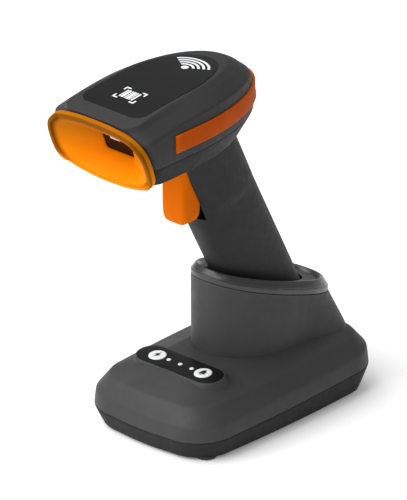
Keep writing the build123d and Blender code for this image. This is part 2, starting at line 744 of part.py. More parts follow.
def usb_inlet():
    shell = Pos(0, 87.2, INLET_Z) * Box(8.9, 9.0, 3.2)
    shell = fillet(shell.edges().filter_by(Axis.Y), 1.5)
    mouth = Pos(0, 88.4, INLET_Z) * Box(8.3, 9.4, 2.6)
    mouth = fillet(mouth.edges().filter_by(Axis.Y), 1.25)
    return shell - mouth


def usb_tongue():
    return Pos(0, 86.0, INLET_Z) * Box(6.7, 4.4, 0.7)


BASE_SCREWS = ((-30, -28), (30, -28), (-30, 58), (30, 58))


def base_screws():
    screws = []
    for x, y in BASE_SCREWS:
        screws.append(post(x, y, FOOT + 0.1, FOOT + 1.7, 2.6) + post(x, y, FOOT + 1.6, 12.0, 1.2))
    return Compound(children=screws)


def base_screw_holes():
    holes = None
    for x, y in BASE_SCREWS:
        hole = post(x, y, FOOT - 1, FOOT + 1.72, 2.75) + post(x, y, 0, 30, 1.25)
        holes = hole if holes is None else holes + hole
    return holes


# ---------------------------------------------------------------- one node at a time
NODES = {
    "head_cover": head_cover,
    "head_tray": head_tray,
    "nose_bezel": nose_bezel,
    "scan_window": scan_window,
    "top_panel": top_panel,
    "bumper_band": bumper_band,
    "engine_housing": engine_housing,
    "engine_lens": engine_lens,
    "aimer_lens": aimer_lens,
    "engine_board": engine_board,
    "main_board": lambda: main_board() - board_holes(),
    "board_chips": board_chips,
    "radio_module": radio_module,
    "beeper": beeper,
    "board_screws": board_screws,
    "status_light": status_light,
    "grip_left": lambda: grip_shell(-1),
    "grip_right": lambda: grip_shell(1),
    "grip_cap": grip_cap,
    "charge_pads": charge_pads,
    "cap_screw": cap_screw,
    "battery_pack": battery_pack,
    "battery_ends": battery_ends,
    "battery_frame": battery_cradle,
    "trigger_lever": trigger_lever,
    "trigger_pin": trigger_pin,
    "trigger_lugs": trigger_bosses,
    "trigger_spring": trigger_spring,
    "trigger_switch": trigger_switch,
    "cradle_shell": cradle_shell,
    "cradle_pan": lambda: cradle_pan() - base_screw_holes() - inlet_hole(),
    "rubber_feet": rubber_feet,
    "collar": collar,
    "collar_rim": collar_rim,
    "well_liner": well_liner,
    "contact_pins": contact_pins,
    "contact_block": contact_block,
    "contact_springs": contact_springs,
    "control_plate": control_plate,
    "key_left": lambda: key_cap(-KEY_X),
    "key_right": lambda: key_cap(KEY_X),
    "indicator_lights": indicator_lights,
    "key_switches": key_switches,
    "key_board": key_board,
    "cradle_board": cradle_board,
    "board_parts": board_parts,
    "ballast_plate": ballast_plate,
    "usb_inlet": usb_inlet,
    "usb_tongue": usb_tongue,
    "base_screws": base_screws,
}

for node, make in NODES.items():
    shape = make()
    solids = shape.solids()
    print(node, len(solids), all(s.is_valid for s in solids), round(shape.volume, 1))
    write(shape, node)
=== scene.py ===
# %% [markdown]
# # A cordless barcode scanner in its charging cradle
#
# The scanner is a pistol: a grip that leans back, a flat head with an orange mouth at its nose,
# and a finger trigger under the head. It stands in a cradle that charges it: a soft, heavy base
# with a round collar that the grip slides into. This lesson dresses the working model of that
# object. First comes the fixed frame, whose parts already carry the joints, and every new piece
# is tied to one of its bodies.

import bmesh
import bpy
from math import atan, cos, pi, radians, sin
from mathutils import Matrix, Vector


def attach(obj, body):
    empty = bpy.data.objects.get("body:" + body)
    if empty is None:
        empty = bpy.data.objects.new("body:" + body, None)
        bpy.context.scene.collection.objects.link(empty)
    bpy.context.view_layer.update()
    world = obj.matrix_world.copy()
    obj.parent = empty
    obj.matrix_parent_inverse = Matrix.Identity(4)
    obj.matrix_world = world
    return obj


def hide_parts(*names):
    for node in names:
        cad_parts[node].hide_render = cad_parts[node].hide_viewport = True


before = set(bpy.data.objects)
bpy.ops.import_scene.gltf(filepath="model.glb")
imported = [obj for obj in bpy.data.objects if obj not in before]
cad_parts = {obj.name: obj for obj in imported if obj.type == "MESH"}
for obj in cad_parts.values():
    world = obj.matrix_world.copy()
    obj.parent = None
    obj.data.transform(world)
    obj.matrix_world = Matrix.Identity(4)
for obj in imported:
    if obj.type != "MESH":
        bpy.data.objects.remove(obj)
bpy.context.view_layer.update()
bpy.ops.object.select_all(action="DESELECT")

# %% [markdown]
# ## Units, floor, light and camera
#
# Plans of moulded parts are drawn in millimetres, and Blender works in metres here, so one number
# turns one into the other. The object stands on a pale floor in a white room. Most of the light
# comes evenly from the room, and a large soft lamp in front, a little to the left, makes the
# nose and the front of the base brighter than the side that faces the camera. The camera is far
# away behind a long lens, so that upright edges stay parallel. The floor glows a little, which
# keeps its shadow thin.

# %% millimetres, floor and room
MM = 0.001

bpy.ops.mesh.primitive_plane_add(size=14, location=(0, 0, -0.0002))
floor = bpy.context.object
floor.name = "floor"
paper = bpy.data.materials.new("pale_floor")
paper.use_nodes = True
surface = paper.node_tree.nodes["Principled BSDF"].inputs
surface["Base Color"].default_value = (0.93, 0.93, 0.93, 1)
surface["Roughness"].default_value = 0.9
surface["Specular IOR Level"].default_value = 0.1
surface["Emission Color"].default_value = (1, 1, 1, 1)
surface["Emission Strength"].default_value = 0.16
floor.data.materials.append(paper)

room = bpy.data.worlds.new("white_room")
room.use_nodes = True
room.node_tree.nodes["Background"].inputs["Color"].default_value = (1, 1, 1, 1)
room.node_tree.nodes["Background"].inputs["Strength"].default_value = 0.42
bpy.context.scene.world = room
bpy.context.scene.view_settings.view_transform = "Standard"
print("floor and room ready")

# %% lamps


def softbox(name, place, aim, size, power):
    """A square area lamp turned towards a point."""
    data = bpy.data.lights.new(name, "AREA")
    data.shape = "SQUARE"
    data.size = size
    data.energy = power
    lamp = bpy.data.objects.new(name, data)
    bpy.context.collection.objects.link(lamp)
    lamp.location = place
    lamp.rotation_euler = (Vector(aim) - Vector(place)).to_track_quat("-Z", "Y").to_euler()
    return lamp


softbox("key_front", (-0.55, -1.45, 1.55), (0, -0.02, 0.11), 2.3, 62)
softbox("top_soft", (-0.5, 0.3, 1.8), (0, 0, 0.1), 1.4, 10)

# %% camera
AZIMUTH, ELEVATION, DISTANCE = radians(42.4), radians(25.2), 8.0
FIELD, SENSOR = 0.2703, 36   # metres seen across the middle, millimetres of sensor
aim = Vector((0, -0.00478, 0.1000))
back = Vector((sin(AZIMUTH) * cos(ELEVATION), -cos(AZIMUTH) * cos(ELEVATION), sin(ELEVATION)))
lens = bpy.data.cameras.new("camera")
lens.sensor_width = SENSOR
lens.lens = SENSOR * DISTANCE / FIELD
camera = bpy.data.objects.new("camera", lens)
bpy.context.collection.objects.link(camera)
camera.location = aim + back * DISTANCE
camera.rotation_euler = (-back).to_track_quat("-Z", "Y").to_euler()
bpy.context.scene.camera = camera
print("camera", [round(c, 3) for c in camera.location], "lens", round(lens.lens))

# %% [markdown]
# ## Finishes
#
# Nearly everything outside is moulded plastic. Its mould is spark-eroded, which leaves a very
# fine grain that takes the shine off, and handling polishes the edges a little. So one recipe
# serves for all mouldings: a slow cloud for uneven colour, a finer cloud for uneven shine, a
# grain for the bump, and a lighter tone where the surface turns sharply outwards. Only the
# numbers differ between the dark grey, the orange and the black.

# %% shader helpers


def shader(name):
    """A new node material and its main shader."""
    material = bpy.data.materials.new(name)
    material.use_nodes = True
    return material, material.node_tree, material.node_tree.nodes["Principled BSDF"]


def cloud(tree, scale, detail=3.0, stretch=None):
    """Noise on the object's own coordinates; scale is in patches per metre."""
    place = tree.nodes.new("ShaderNodeTexCoord")
    noise = tree.nodes.new("ShaderNodeTexNoise")
    noise.inputs["Scale"].default_value = scale
    noise.inputs["Detail"].default_value = detail
    source = place.outputs["Object"]
    if stretch:
        turn = tree.nodes.new("ShaderNodeMapping")
        turn.inputs["Scale"].default_value = stretch
        tree.links.new(source, turn.inputs["Vector"])
        source = turn.outputs["Vector"]
    tree.links.new(source, noise.inputs["Vector"])
    return noise.outputs["Fac"]


def between(tree, factor, low, high, start=0.0, end=1.0):
    """Turns a factor into numbers from low to high."""
    span = tree.nodes.new("ShaderNodeMapRange")
    span.inputs["From Min"].default_value = start
    span.inputs["From Max"].default_value = end
    span.inputs["To Min"].default_value = low
    span.inputs["To Max"].default_value = high
    tree.links.new(factor, span.inputs["Value"])
    return span.outputs["Result"]


def tint(tree, factor, dark, light, start=0.3, end=0.7):
    """Turns a factor into colours from dark to light."""
    ramp = tree.nodes.new("ShaderNodeValToRGB")
    ramp.color_ramp.elements[0].position = start
    ramp.color_ramp.elements[1].position = end
    ramp.color_ramp.elements[0].color = (*dark, 1)
    ramp.color_ramp.elements[1].color = (*light, 1)
    tree.links.new(factor, ramp.inputs["Fac"])
    return ramp.outputs["Color"]


def grain(tree, main, factor, strength, depth):
    """Bump on a main shader."""
    bump = tree.nodes.new("ShaderNodeBump")
    bump.inputs["Strength"].default_value = strength
    bump.inputs["Distance"].default_value = depth
    tree.links.new(factor, bump.inputs["Height"])
    tree.links.new(bump.outputs["Normal"], main.inputs["Normal"])


def shade(colour, by):
    """A colour made lighter or darker."""
    return tuple(min(1.0, c * by) for c in colour)


# %% the moulding recipe


def moulding(name, colour, rough=0.5, fine=1700, strength=0.25, worn=1.5, level=0.4):
    """Moulded plastic: uneven tone, uneven shine, spark-eroded grain, edges polished by use."""
    material, tree, main = shader(name)
    tone = tint(tree, cloud(tree, 32), shade(colour, 0.90), shade(colour, 1.08))
    edge = tree.nodes.new("ShaderNodeNewGeometry")
    use = between(tree, edge.outputs["Pointiness"], 0.0, 1.0, 0.53, 0.60)
    mix = tree.nodes.new("ShaderNodeMix")
    mix.data_type = "RGBA"
    mix.inputs["B"].default_value = (*shade(colour, worn), 1)
    tree.links.new(use, mix.inputs["Factor"])
    tree.links.new(tone, mix.inputs["A"])
    tree.links.new(mix.outputs["Result"], main.inputs["Base Color"])
    shine = between(tree, cloud(tree, 240, 4), rough - 0.06, rough + 0.07, 0.3, 0.7)
    tree.links.new(shine, main.inputs["Roughness"])
    main.inputs["Specular IOR Level"].default_value = level
    grain(tree, main, cloud(tree, fine, 2), strength, 0.00006)
    return material


finish = {
    "grey_shell": moulding("grey_shell", (0.030, 0.030, 0.031), 0.56, level=0.20),
    "grey_cradle": moulding("grey_cradle", (0.042, 0.042, 0.042), 0.54, level=0.24),
    "grey_rim": moulding("grey_rim", (0.026, 0.026, 0.027), 0.30, worn=2.2, level=0.5),
    "orange": moulding("orange", (0.88, 0.225, 0.0), 0.52, 1300, 0.10, 1.0, 0.03),
    # painted shade: darker copies of the shell's and the cradle's grey for the tray, the pan and the grip, which turn
    # away from the lamp
    "grey_under": moulding("grey_under", (0.0170, 0.0170, 0.0175), 0.60, level=0.14),
    "grey_grip": moulding("grey_grip", (0.0225, 0.0225, 0.0232), 0.58, level=0.17),
    "orange_band": moulding("orange_band", (0.45, 0.068, 0.0), 0.5, 1500, 0.16, 1.6, 0.03),
    "orange_trigger": moulding("orange_trigger", (0.68, 0.135, 0.0), 0.5, 1300, 0.10, 1.05, 0.02),
    "black_matt": moulding("black_matt", (0.012, 0.012, 0.013), 0.6),
    "key_white": moulding("key_white", (0.78, 0.80, 0.80), 0.35, 1300, 0.08, 1.0),
    "tin_can": moulding("tin_can", (0.45, 0.45, 0.46), 0.4),
    "chip_black": moulding("chip_black", (0.015, 0.015, 0.017), 0.55),
    "battery_wrap": moulding("battery_wrap", (0.05, 0.22, 0.32), 0.34, 900, 0.06),
    "light_guide": moulding("light_guide", (0.62, 0.68, 0.66), 0.22, 900, 0.05, 1.0),
}
print("mouldings", len(finish))

# %% [markdown]
# The mouth is open to the front and lit from below by its own floor, so its orange is deepest near
# the top. Part of that is painted shade in the finish: it is multiplied by a darker tone with height. The grip,
# the tray and the pan get darker copies of their greys above, a painted shade because they turn away from the lamp.

# %% the mouth's painted shade


def ahead_of(tree, normal, start, end):
    """From 0 to 1 along a direction in the object's own space, between two distances in metres."""
    place = tree.nodes.new("ShaderNodeTexCoord")
    dot = tree.nodes.new("ShaderNodeVectorMath")
    dot.operation = "DOT_PRODUCT"
    dot.inputs[1].default_value = normal
    tree.links.new(place.outputs["Object"], dot.inputs[0])
    return between(tree, dot.outputs["Value"], 0.0, 1.0, start, end)


def paint_shade(material, factor, by):
    """Painted shade: multiplies the base colour where the factor is high."""
    tree = material.node_tree
    main = tree.nodes["Principled BSDF"]
    mix = tree.nodes.new("ShaderNodeMix")
    mix.data_type = "RGBA"
    mix.blend_type = "MULTIPLY"
    mix.inputs["B"].default_value = (*by, 1)
    tree.links.new(factor, mix.inputs["Factor"])
    tree.links.new(main.inputs["Base Color"].links[0].from_socket, mix.inputs["A"])
    tree.links.new(mix.outputs["Result"], main.inputs["Base Color"])


mouth_tree = finish["orange"].node_tree
# painted shade: the mouth's orange is made darker with height
paint_shade(finish["orange"], ahead_of(mouth_tree, (0, 0, 1), 0.1720, 0.1960), (0.46, 0.52, 0.4))
print("mouth tone set")

# %% [markdown]
# Gloss black lacquer, glass, metals, rubber and the circuit board each need a recipe of their
# own. Lacquer and glass are smooth, with a faint long-wave ripple that breaks up reflections.
# The metals are brushed, so their noise is drawn out along one direction. Rubber is matt with a
# coarse speckle, and a board shows its green mask over the lighter weave of the laminate.

# %% gloss, glass and rubber


def lacquer(name, colour, rough, ripple, level=0.5):
    """A smooth surface with a faint ripple."""
    material, tree, main = shader(name)
    tone = tint(tree, cloud(tree, 60), shade(colour, 0.85), shade(colour, 1.2))
    tree.links.new(tone, main.inputs["Base Color"])
    shine = between(tree, cloud(tree, 500, 5), rough, rough + 0.05, 0.45, 0.8)
    tree.links.new(shine, main.inputs["Roughness"])
    main.inputs["Specular IOR Level"].default_value = level
    grain(tree, main, cloud(tree, 70, 1), 0.12, ripple)
    return material


finish["black_gloss"] = lacquer("black_gloss", (0.0060, 0.0060, 0.0064), 0.30, 0.0001, 0.14)
finish["dark_window"] = lacquer("dark_window", (0.004, 0.003, 0.003), 0.16, 0.0001, 0.12)
finish["lens_glass"] = lacquer("lens_glass", (0.015, 0.03, 0.08), 0.04, 0.0001)
finish["aimer_glass"] = lacquer("aimer_glass", (0.35, 0.03, 0.02), 0.05, 0.0001)

rubber, tree, main = shader("rubber")
speckle = tint(tree, cloud(tree, 900, 4), (0.010, 0.010, 0.011), (0.030, 0.030, 0.031))
tree.links.new(speckle, main.inputs["Base Color"])
tree.links.new(between(tree, cloud(tree, 300), 0.78, 0.92), main.inputs["Roughness"])
grain(tree, main, cloud(tree, 1500, 3), 0.5, 0.0001)
finish["rubber"] = rubber
print("lacquers and rubber", len(finish))

# %% metals and the board


def metal(name, colour, rough):
    """Brushed metal: noise drawn out along one direction."""
    material, tree, main = shader(name)
    main.inputs["Metallic"].default_value = 1.0
    tree.links.new(tint(tree, cloud(tree, 150, 4), shade(colour, 0.8), colour), main.inputs["Base Color"])
    brushed = cloud(tree, 500, 5, (1, 1, 9))
    tree.links.new(between(tree, brushed, rough, rough + 0.2, 0.3, 0.7), main.inputs["Roughness"])
    grain(tree, main, brushed, 0.15, 0.00003)
    return material


finish["screw_steel"] = metal("screw_steel", (0.55, 0.55, 0.56), 0.28)
finish["spring_steel"] = metal("spring_steel", (0.42, 0.42, 0.44), 0.25)
finish["ballast_steel"] = metal("ballast_steel", (0.30, 0.30, 0.31), 0.40)
finish["gold"] = metal("gold", (0.90, 0.62, 0.22), 0.20)

board, tree, main = shader("circuit_green")
weave = tree.nodes.new("ShaderNodeTexChecker")
weave.inputs["Scale"].default_value = 900
weave.inputs["Color1"].default_value = (0.012, 0.085, 0.030, 1)
weave.inputs["Color2"].default_value = (0.016, 0.105, 0.038, 1)
place = tree.nodes.new("ShaderNodeTexCoord")
tree.links.new(place.outputs["Object"], weave.inputs["Vector"])
tree.links.new(weave.outputs["Color"], main.inputs["Base Color"])
tree.links.new(between(tree, cloud(tree, 300), 0.25, 0.45), main.inputs["Roughness"])
grain(tree, main, weave.outputs["Fac"], 0.2, 0.00003)
finish["circuit_green"] = board
print("finishes", sorted(finish))

# %% [markdown]
# ## How the mouldings are shaped
#
# A moulded shell is drawn as a pile of outlines: how the part looks in plan at one height, and
# again a little higher. In Blender that is a circle whose points are laid on the lowest outline
# and whose edge is extruded again and again, each new loop laid on the next outline. Two outlines
# close together make an edge crisp, and a subdivision surface rounds everything between them.
# Every point remembers its station around the outline, so the loops can never twist.

# %% extrude a skin from outline to outline


def lay(piece, outline, row, start=False):
    """Puts the selected loop on an outline, point by point, and notes its row."""
    mesh = bmesh.from_edit_mesh(piece.data)
    station, level = mesh.verts.layers.int["station"], mesh.verts.layers.int["row"]
    if start:
        mesh.verts.ensure_lookup_table()
        for number, vert in enumerate(mesh.verts):
            vert[station] = number
    for vert in mesh.verts:
        if vert.select:
            vert[level] = row
            vert.co = Vector(outline[vert[station]]) * MM
    bmesh.update_edit_mesh(piece.data)


def cap(piece, row):
    """Closes the loop of one row with a face."""
    bpy.ops.mesh.select_all(action="DESELECT")
    mesh = bmesh.from_edit_mesh(piece.data)
    level = mesh.verts.layers.int["row"]
    for vert in mesh.verts:
        vert.select = vert[level] == row
    mesh.select_flush_mode()
    bmesh.update_edit_mesh(piece.data)
    bpy.ops.mesh.edge_face_add()


def skin(name, outlines, caps=(False, False)):
    """A circle laid on the first outline, then extruded to each of the others."""
    bpy.ops.object.select_all(action="DESELECT")
    bpy.ops.mesh.primitive_circle_add(vertices=len(outlines[0]), radius=0.01)
    piece = bpy.context.object
    piece.name = name
    bpy.ops.object.mode_set(mode="EDIT")
    mesh = bmesh.from_edit_mesh(piece.data)
    mesh.verts.layers.int.new("station")
    mesh.verts.layers.int.new("row")
    bpy.ops.mesh.select_all(action="SELECT")
    lay(piece, outlines[0], 0, start=True)
    for row, outline in enumerate(outlines[1:], 1):
        bpy.ops.mesh.extrude_region_move(TRANSFORM_OT_translate={"value": (0, 0, 0.001)})
        lay(piece, outline, row)
    if caps[0]:
        cap(piece, 0)
    if caps[1]:
        cap(piece, len(outlines) - 1)
    bpy.ops.mesh.select_all(action="SELECT")
    bpy.ops.mesh.remove_doubles(threshold=0.000002)
    bpy.ops.mesh.normals_make_consistent(inside=False)
    bpy.ops.object.mode_set(mode="OBJECT")
    return piece


# %% finishing moves


def only(piece):
    """Makes one piece the only selected and active one."""
    bpy.ops.object.select_all(action="DESELECT")
    piece.select_set(True)
    bpy.context.view_layer.objects.active = piece


def applied(piece, kind, **settings):
    """Adds a modifier, sets it and applies it."""
    only(piece)
    modifier = piece.modifiers.new(kind.lower(), kind)
    for key, value in settings.items():
        setattr(modifier, key, value)
    bpy.ops.object.modifier_apply(modifier=modifier.name)
    return piece


def rounded(piece):
    """Rounds everything between the outlines."""
    return applied(piece, "SUBSURF", levels=1, render_levels=1)


WALL = 2.2


def walled(piece):
    """Gives an open skin its wall, inwards."""
    return applied(piece, "SOLIDIFY", thickness=WALL * MM, offset=-1, use_even_offset=True)


def cut(piece, tool):
    """Takes a tool's volume out of a piece and removes the tool."""
    applied(piece, "BOOLEAN", operation="DIFFERENCE", solver="MANIFOLD", object=tool)
    bpy.data.objects.remove(tool)
    return piece


def mount(piece, body, slot, *nodes, material=None, angle=35):
    """Smooths, paints and ties a finished piece to its body, and hides the frame nodes it stands for."""
    only(piece)
    bpy.ops.object.shade_smooth_by_angle(angle=radians(angle))
    piece.data.materials.clear()
    piece.data.materials.append(finish[material or slot])
    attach(piece, body)
    if nodes:
        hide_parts(*nodes)
    box = [Vector(c) for c in piece.bound_box]
    spans = [round((max(c[i] for c in box) - min(c[i] for c in box)) / MM, 1) for i in range(3)]
    print(piece.name, "faces", len(piece.data.polygons), "size mm", spans)


def blend_rows(low, high, share):
    """The outline a share of the way from one outline to the next."""
    return [tuple(a + (b - a) * share for a, b in zip(p, q)) for p, q in zip(low, high)]


def crisp(outlines, reach, keep=()):
    """Adds a loop close to each side of every inner outline, reach mm away, so it stays an edge."""
    rows = [outlines[0]]
    for i in range(1, len(outlines)):
        low, high = outlines[i - 1], outlines[i]
        span = (Vector(low[0]) - Vector(high[0])).length
        near = 0.0 if i - 1 in keep or i == 1 else reach / span
        far = 0.0 if i in keep or i == len(outlines) - 1 else reach / span
        if 0 < near < 0.45:
            rows.append(blend_rows(low, high, near))
        if 0 < far < 0.45:
            rows.append(blend_rows(low, high, 1 - far))
        rows.append(high)
    return rows


def circle(cx, cy, radius, count):
    """Points of a plan circle."""
    return [(cx + radius * cos(2 * pi * i / count), cy + radius * sin(2 * pi * i / count)) for i in range(count)]


print("modelling helpers ready")

# %% [markdown]
# ## Plans of the head
#
# Seen from above the head is square at the nose with eased corners, and its sides close to the
# rear like half an ellipse. The nose is cut off by a plane that leans back 20 degrees, so every
# outline starts a little further forward the higher it lies. The top is a barrel with a long
# radius: its height depends only on the distance to the middle of the head.

# %% head outlines
NOSE_SLOPE = 0.364
CROWN_Y, CROWN_TOP, CROWN_SPAN = -24.0, 213.4, 840.0   # the highest line, its height, twice the radius


def bend(a, b, c, count):
    """Points on the circle through three plan points, from a to just before c."""
    ax, ay, bx, by, cx, cy = *a, *b, *c
    d = 2 * (ax * (by - cy) + bx * (cy - ay) + cx * (ay - by))
    if abs(d) < 1e-9:
        return [(ax + (cx - ax) * i / count, ay + (cy - ay) * i / count) for i in range(count)]
    a2, b2, c2 = ax * ax + ay * ay, bx * bx + by * by, cx * cx + cy * cy
    ox = (a2 * (by - cy) + b2 * (cy - ay) + c2 * (ay - by)) / d
    oy = (a2 * (cx - bx) + b2 * (ax - cx) + c2 * (bx - ax)) / d
    start, middle, end = (Vector((x - ox, y - oy)) for x, y in (a, b, c))
    sweep = -start.angle_signed(middle) - middle.angle_signed(end)
    points = []
    for i in range(count):
        turn = sweep * i / count
        points.append((ox + start.x * cos(turn) - start.y * sin(turn),
                       oy + start.x * sin(turn) + start.y * cos(turn)))
    return points


def nose_at(z):
    """Where the leaning nose face is at a height."""
    return -89.5 + (203.0 - z) * NOSE_SLOPE


def crown_at(y, top=CROWN_TOP):
    """Height of the barrel-shaped top at a distance along the head."""
    return top - (y - CROWN_Y) ** 2 / CROWN_SPAN


def head_ring(z, half, front, rear, turn, corner, arch=0.0):
    """Plan of the head at one height; arch makes it follow a share of the crown's fall."""
    eased = corner * 0.29
    plan = [(-half + corner + 2 * (half - corner) * i / 14, front) for i in range(14)]
    plan += bend((half - corner, front), (half - eased, front + eased), (half, front + corner), 8)
    plan += [(half, front + corner + (turn - front - corner) * i / 8) for i in range(8)]
    plan += [(half * cos(pi * i / 40), turn + (rear - turn) * sin(pi * i / 40)) for i in range(40)]
    plan += [(-half, turn + (front + corner - turn) * i / 8) for i in range(8)]
    plan += bend((-half, front + corner), (-half + eased, front + eased), (-half + corner, front), 8)
    return [(x, y, z - arch * (y - CROWN_Y) ** 2 / CROWN_SPAN) for x, y in plan]


print("points round the head", len(head_ring(190, 35, -85, 26, -50, 6)))

# %% [markdown]
# ## Head cover
#
# The cover is the upper half of the head: upright walls, a sloping shoulder and the crowned top.
# It could be cut from a block with bevels, but the shoulder changes its width all the way round,
# so it is extruded from outline to outline. The loop where shoulder and crown meet is found by
# sliding each point up the slope until it touches the barrel. The mouth and the seat of the
# black plate are then cut out of it, as the mould's cores do.

# %% cover outlines and skin


def crown_edge(low, high):
    """Where the slope between two outlines meets the crown."""
    edge = []
    for p, q in zip(low, high):
        share = 0.5
        for _ in range(6):
            y = p[1] + (q[1] - p[1]) * share
            share = (crown_at(y) - p[2]) / (q[2] - p[2])
        edge.append((p[0] + (q[0] - p[0]) * share, y, crown_at(y)))
    return edge


def towards_spine(edge, share, top=CROWN_TOP):
    """An outline drawn in towards the head's middle line, kept on a barrel."""
    rows = []
    for x, y, _ in edge:
        inner = max(-70.0, min(-18.0, y))
        fresh = y + (inner - y) * share
        rows.append((x * (1 - share), fresh, crown_at(fresh, top)))
    return rows


shoulder_low = head_ring(206.4, 35.2, nose_at(200.2), 22.6, -46, 7, 1.3)
shoulder_high = head_ring(210.8, 28.0, nose_at(205.0) + 0.2, 15.5, -45, 9, 1.1)
above = head_ring(215.0, 20.4, nose_at(213.1), 4.0, -44, 9)
edge = crown_edge(shoulder_high, above)
walls = crisp([
    head_ring(184.35, 35.5, nose_at(184), 26.4, -52, 6),
    head_ring(195.0, 35.9, nose_at(195.0), 26.6, -50, 6),
    shoulder_low, shoulder_high, edge, towards_spine(edge, 0.12),
], 0.9, keep=(1,))
lip = [
    head_ring(184.02, 35.0, nose_at(184) + 0.5, 25.9, -52, 6),
    head_ring(184.10, 35.3, nose_at(184) + 0.2, 26.2, -52, 6),
]
crown_rows = [towards_spine(edge, share) for share in (0.3, 0.5, 0.7, 0.85, 1.0)]
cover = walled(rounded(skin("cover", lip + walls + crown_rows)))
print("cover walls", len(cover.data.polygons))

# %% [markdown]
# The mouth's outline is a D lying on its back: nearly flat above, full at the sides and bowed
# below. It is drawn on the leaning nose plane as the distance from its middle in every direction,
# which makes it easy to blend the D into the small rounded window at the end of the funnel.

# %% the mouth's plan
NOSE_TILT = atan(NOSE_SLOPE)
NOSE_MIDDLE = 187.0
STEPS = 144
D_HALF, D_HIGH = 35.4, 21.4


def nose_point(u, v, ahead):
    """A point of the leaning nose plane: u to the side, v up the face, ahead out of it."""
    t = NOSE_TILT
    y = nose_at(NOSE_MIDDLE) - ahead * cos(t) ** 2 - v * sin(t)
    return (u, y, NOSE_MIDDLE - ahead * cos(t) * sin(t) + v * cos(t))


def smooth_loop(points, count=12):
    """A closed curve through points, as a fine polyline."""
    loop, n = [], len(points)
    for i in range(n):
        p0, p1, p2, p3 = (Vector(points[(i + k) % n]) for k in (-1, 0, 1, 2))
        for j in range(count):
            t = j / count
            loop.append(0.5 * ((2 * p1) + (p2 - p0) * t + (2 * p0 - 5 * p1 + 4 * p2 - p3) * t ** 2
                               + (3 * p1 - p0 - 3 * p2 + p3) * t ** 3))
    return loop


def reaches(loop):
    """Distance of a closed curve from its middle in STEPS directions."""
    marks = sorted((Vector((1, 0)).angle_signed(p) * -1 % (2 * pi), p.length) for p in loop)
    marks = [(marks[-1][0] - 2 * pi, marks[-1][1])] + marks + [(marks[0][0] + 2 * pi, marks[0][1])]
    found, k = [], 0
    for i in range(STEPS):
        angle = 2 * pi * i / STEPS
        while marks[k + 1][0] < angle:
            k += 1
        (a0, r0), (a1, r1) = marks[k], marks[k + 1]
        found.append(r0 + (r1 - r0) * (angle - a0) / max(a1 - a0, 1e-9))
    return found


right = [(0, 21.5), (13, 21.0), (25, 18.7), (32.2, 13.4), (35.2, 6.5),
         (35.5, -4.0), (33.6, -11.6), (26.5, -17.2), (14, -20.3)]
d_reach = reaches(smooth_loop(right + [(0, -21.2)] + [(-x, y) for x, y in reversed(right[1:])]))


def window_reach(half, high, r=2.0):
    """A rounded rectangle as distances from its middle."""
    corner = []
    for sx, sy, start in ((1, 1, 0), (-1, 1, 90), (-1, -1, 180), (1, -1, 270)):
        for i in range(9):
            a = radians(start + 90 * i / 8)
            corner.append((sx * (half - r) + r * cos(a), sy * (high - r) + r * sin(a)))
    loop = []
    for i, p in enumerate(corner):
        q = corner[(i + 1) % len(corner)]
        loop += [Vector(p) + (Vector(q) - Vector(p)) * j / 12 for j in range(12)]
    return reaches(loop)


def d_ring(inset, ahead):
    """The D, drawn in by inset and carried ahead of the nose plane; ahead may vary by point."""
    ring = []
    for i, reach in enumerate(d_reach):
        a = 2 * pi * i / STEPS
        u, v = reach * cos(a) * (D_HALF - inset) / D_HALF, reach * sin(a) * (D_HIGH - inset) / D_HIGH
        ring.append(nose_point(u, v, ahead(u, v) if callable(ahead) else ahead))
    return ring


WINDOW_LIFT = -5.2


def window_ring(half, high, ahead):
    """The window's outline, which lies below the middle of the D."""
    reach = window_reach(half, high)
    return [nose_point(r * cos(2 * pi * i / STEPS), r * sin(2 * pi * i / STEPS) + WINDOW_LIFT, ahead)
            for i, r in enumerate(reach)]


print("mouth", [round(c, 1) for c in nose_point(0, 0, 0)])

# %% cut the mouth and the plate's seat


PLATE_HALF, PLATE_FRONT, PLATE_TURN, PLATE_REAR, PLATE_CORNER = 22.3, -80.5, -44.0, 0.5, 7.5
PLATE_STRAIGHT = PLATE_FRONT + PLATE_CORNER


def plate_half(y):
    """Half width of the black plate at a distance along it."""
    if y < PLATE_STRAIGHT:
        return PLATE_HALF - PLATE_CORNER + (PLATE_CORNER ** 2 - min(PLATE_CORNER, PLATE_STRAIGHT - y) ** 2) ** 0.5
    if y < PLATE_TURN:
        return PLATE_HALF
    return PLATE_HALF * max(0.0, 1 - ((y - PLATE_TURN) / (PLATE_REAR - PLATE_TURN)) ** 2) ** 0.5


def plate_outline(inset, z_at):
    """The plate's outline: round front corners, sides closing to a round rear."""
    front, rear = PLATE_FRONT + inset, PLATE_REAR - inset
    stops = [PLATE_FRONT + PLATE_CORNER * (1 - cos(pi * i / 16)) for i in range(9)]
    stops += [PLATE_STRAIGHT + (PLATE_TURN - PLATE_STRAIGHT) * i / 8 for i in range(1, 8)]
    stops += [PLATE_TURN + (PLATE_REAR - PLATE_TURN) * sin(pi * i / 2 / 30) for i in range(30)]
    side = [(max(0.0, plate_half(y) - inset), max(front, min(rear, y))) for y in stops]
    tip = [(0.0, rear)]
    return [(x, y, z_at(y)) for x, y in side + tip + [(-x, y) for x, y in reversed(side)]]


def mouth_core():
    """The block that opens the nose for the mouth."""
    return skin("mouth_core", [d_ring(2.2, -16.0), d_ring(2.2, 14.0)], (True, True))


opening = mouth_core()
seat = plate_outline(-0.22, lambda y: crown_at(y) - 1.1)
floor_rows = [towards_spine(seat, share, 212.3) for share in (1.0, 0.8, 0.6, 0.4, 0.2)]
seat_core = skin("seat_core", floor_rows + [seat, plate_outline(-0.22, lambda y: 216.0)], (False, True))
cut(cover, opening)
cut(cover, seat_core)
mount(cover, "scanner", "grey_shell", "head_cover")
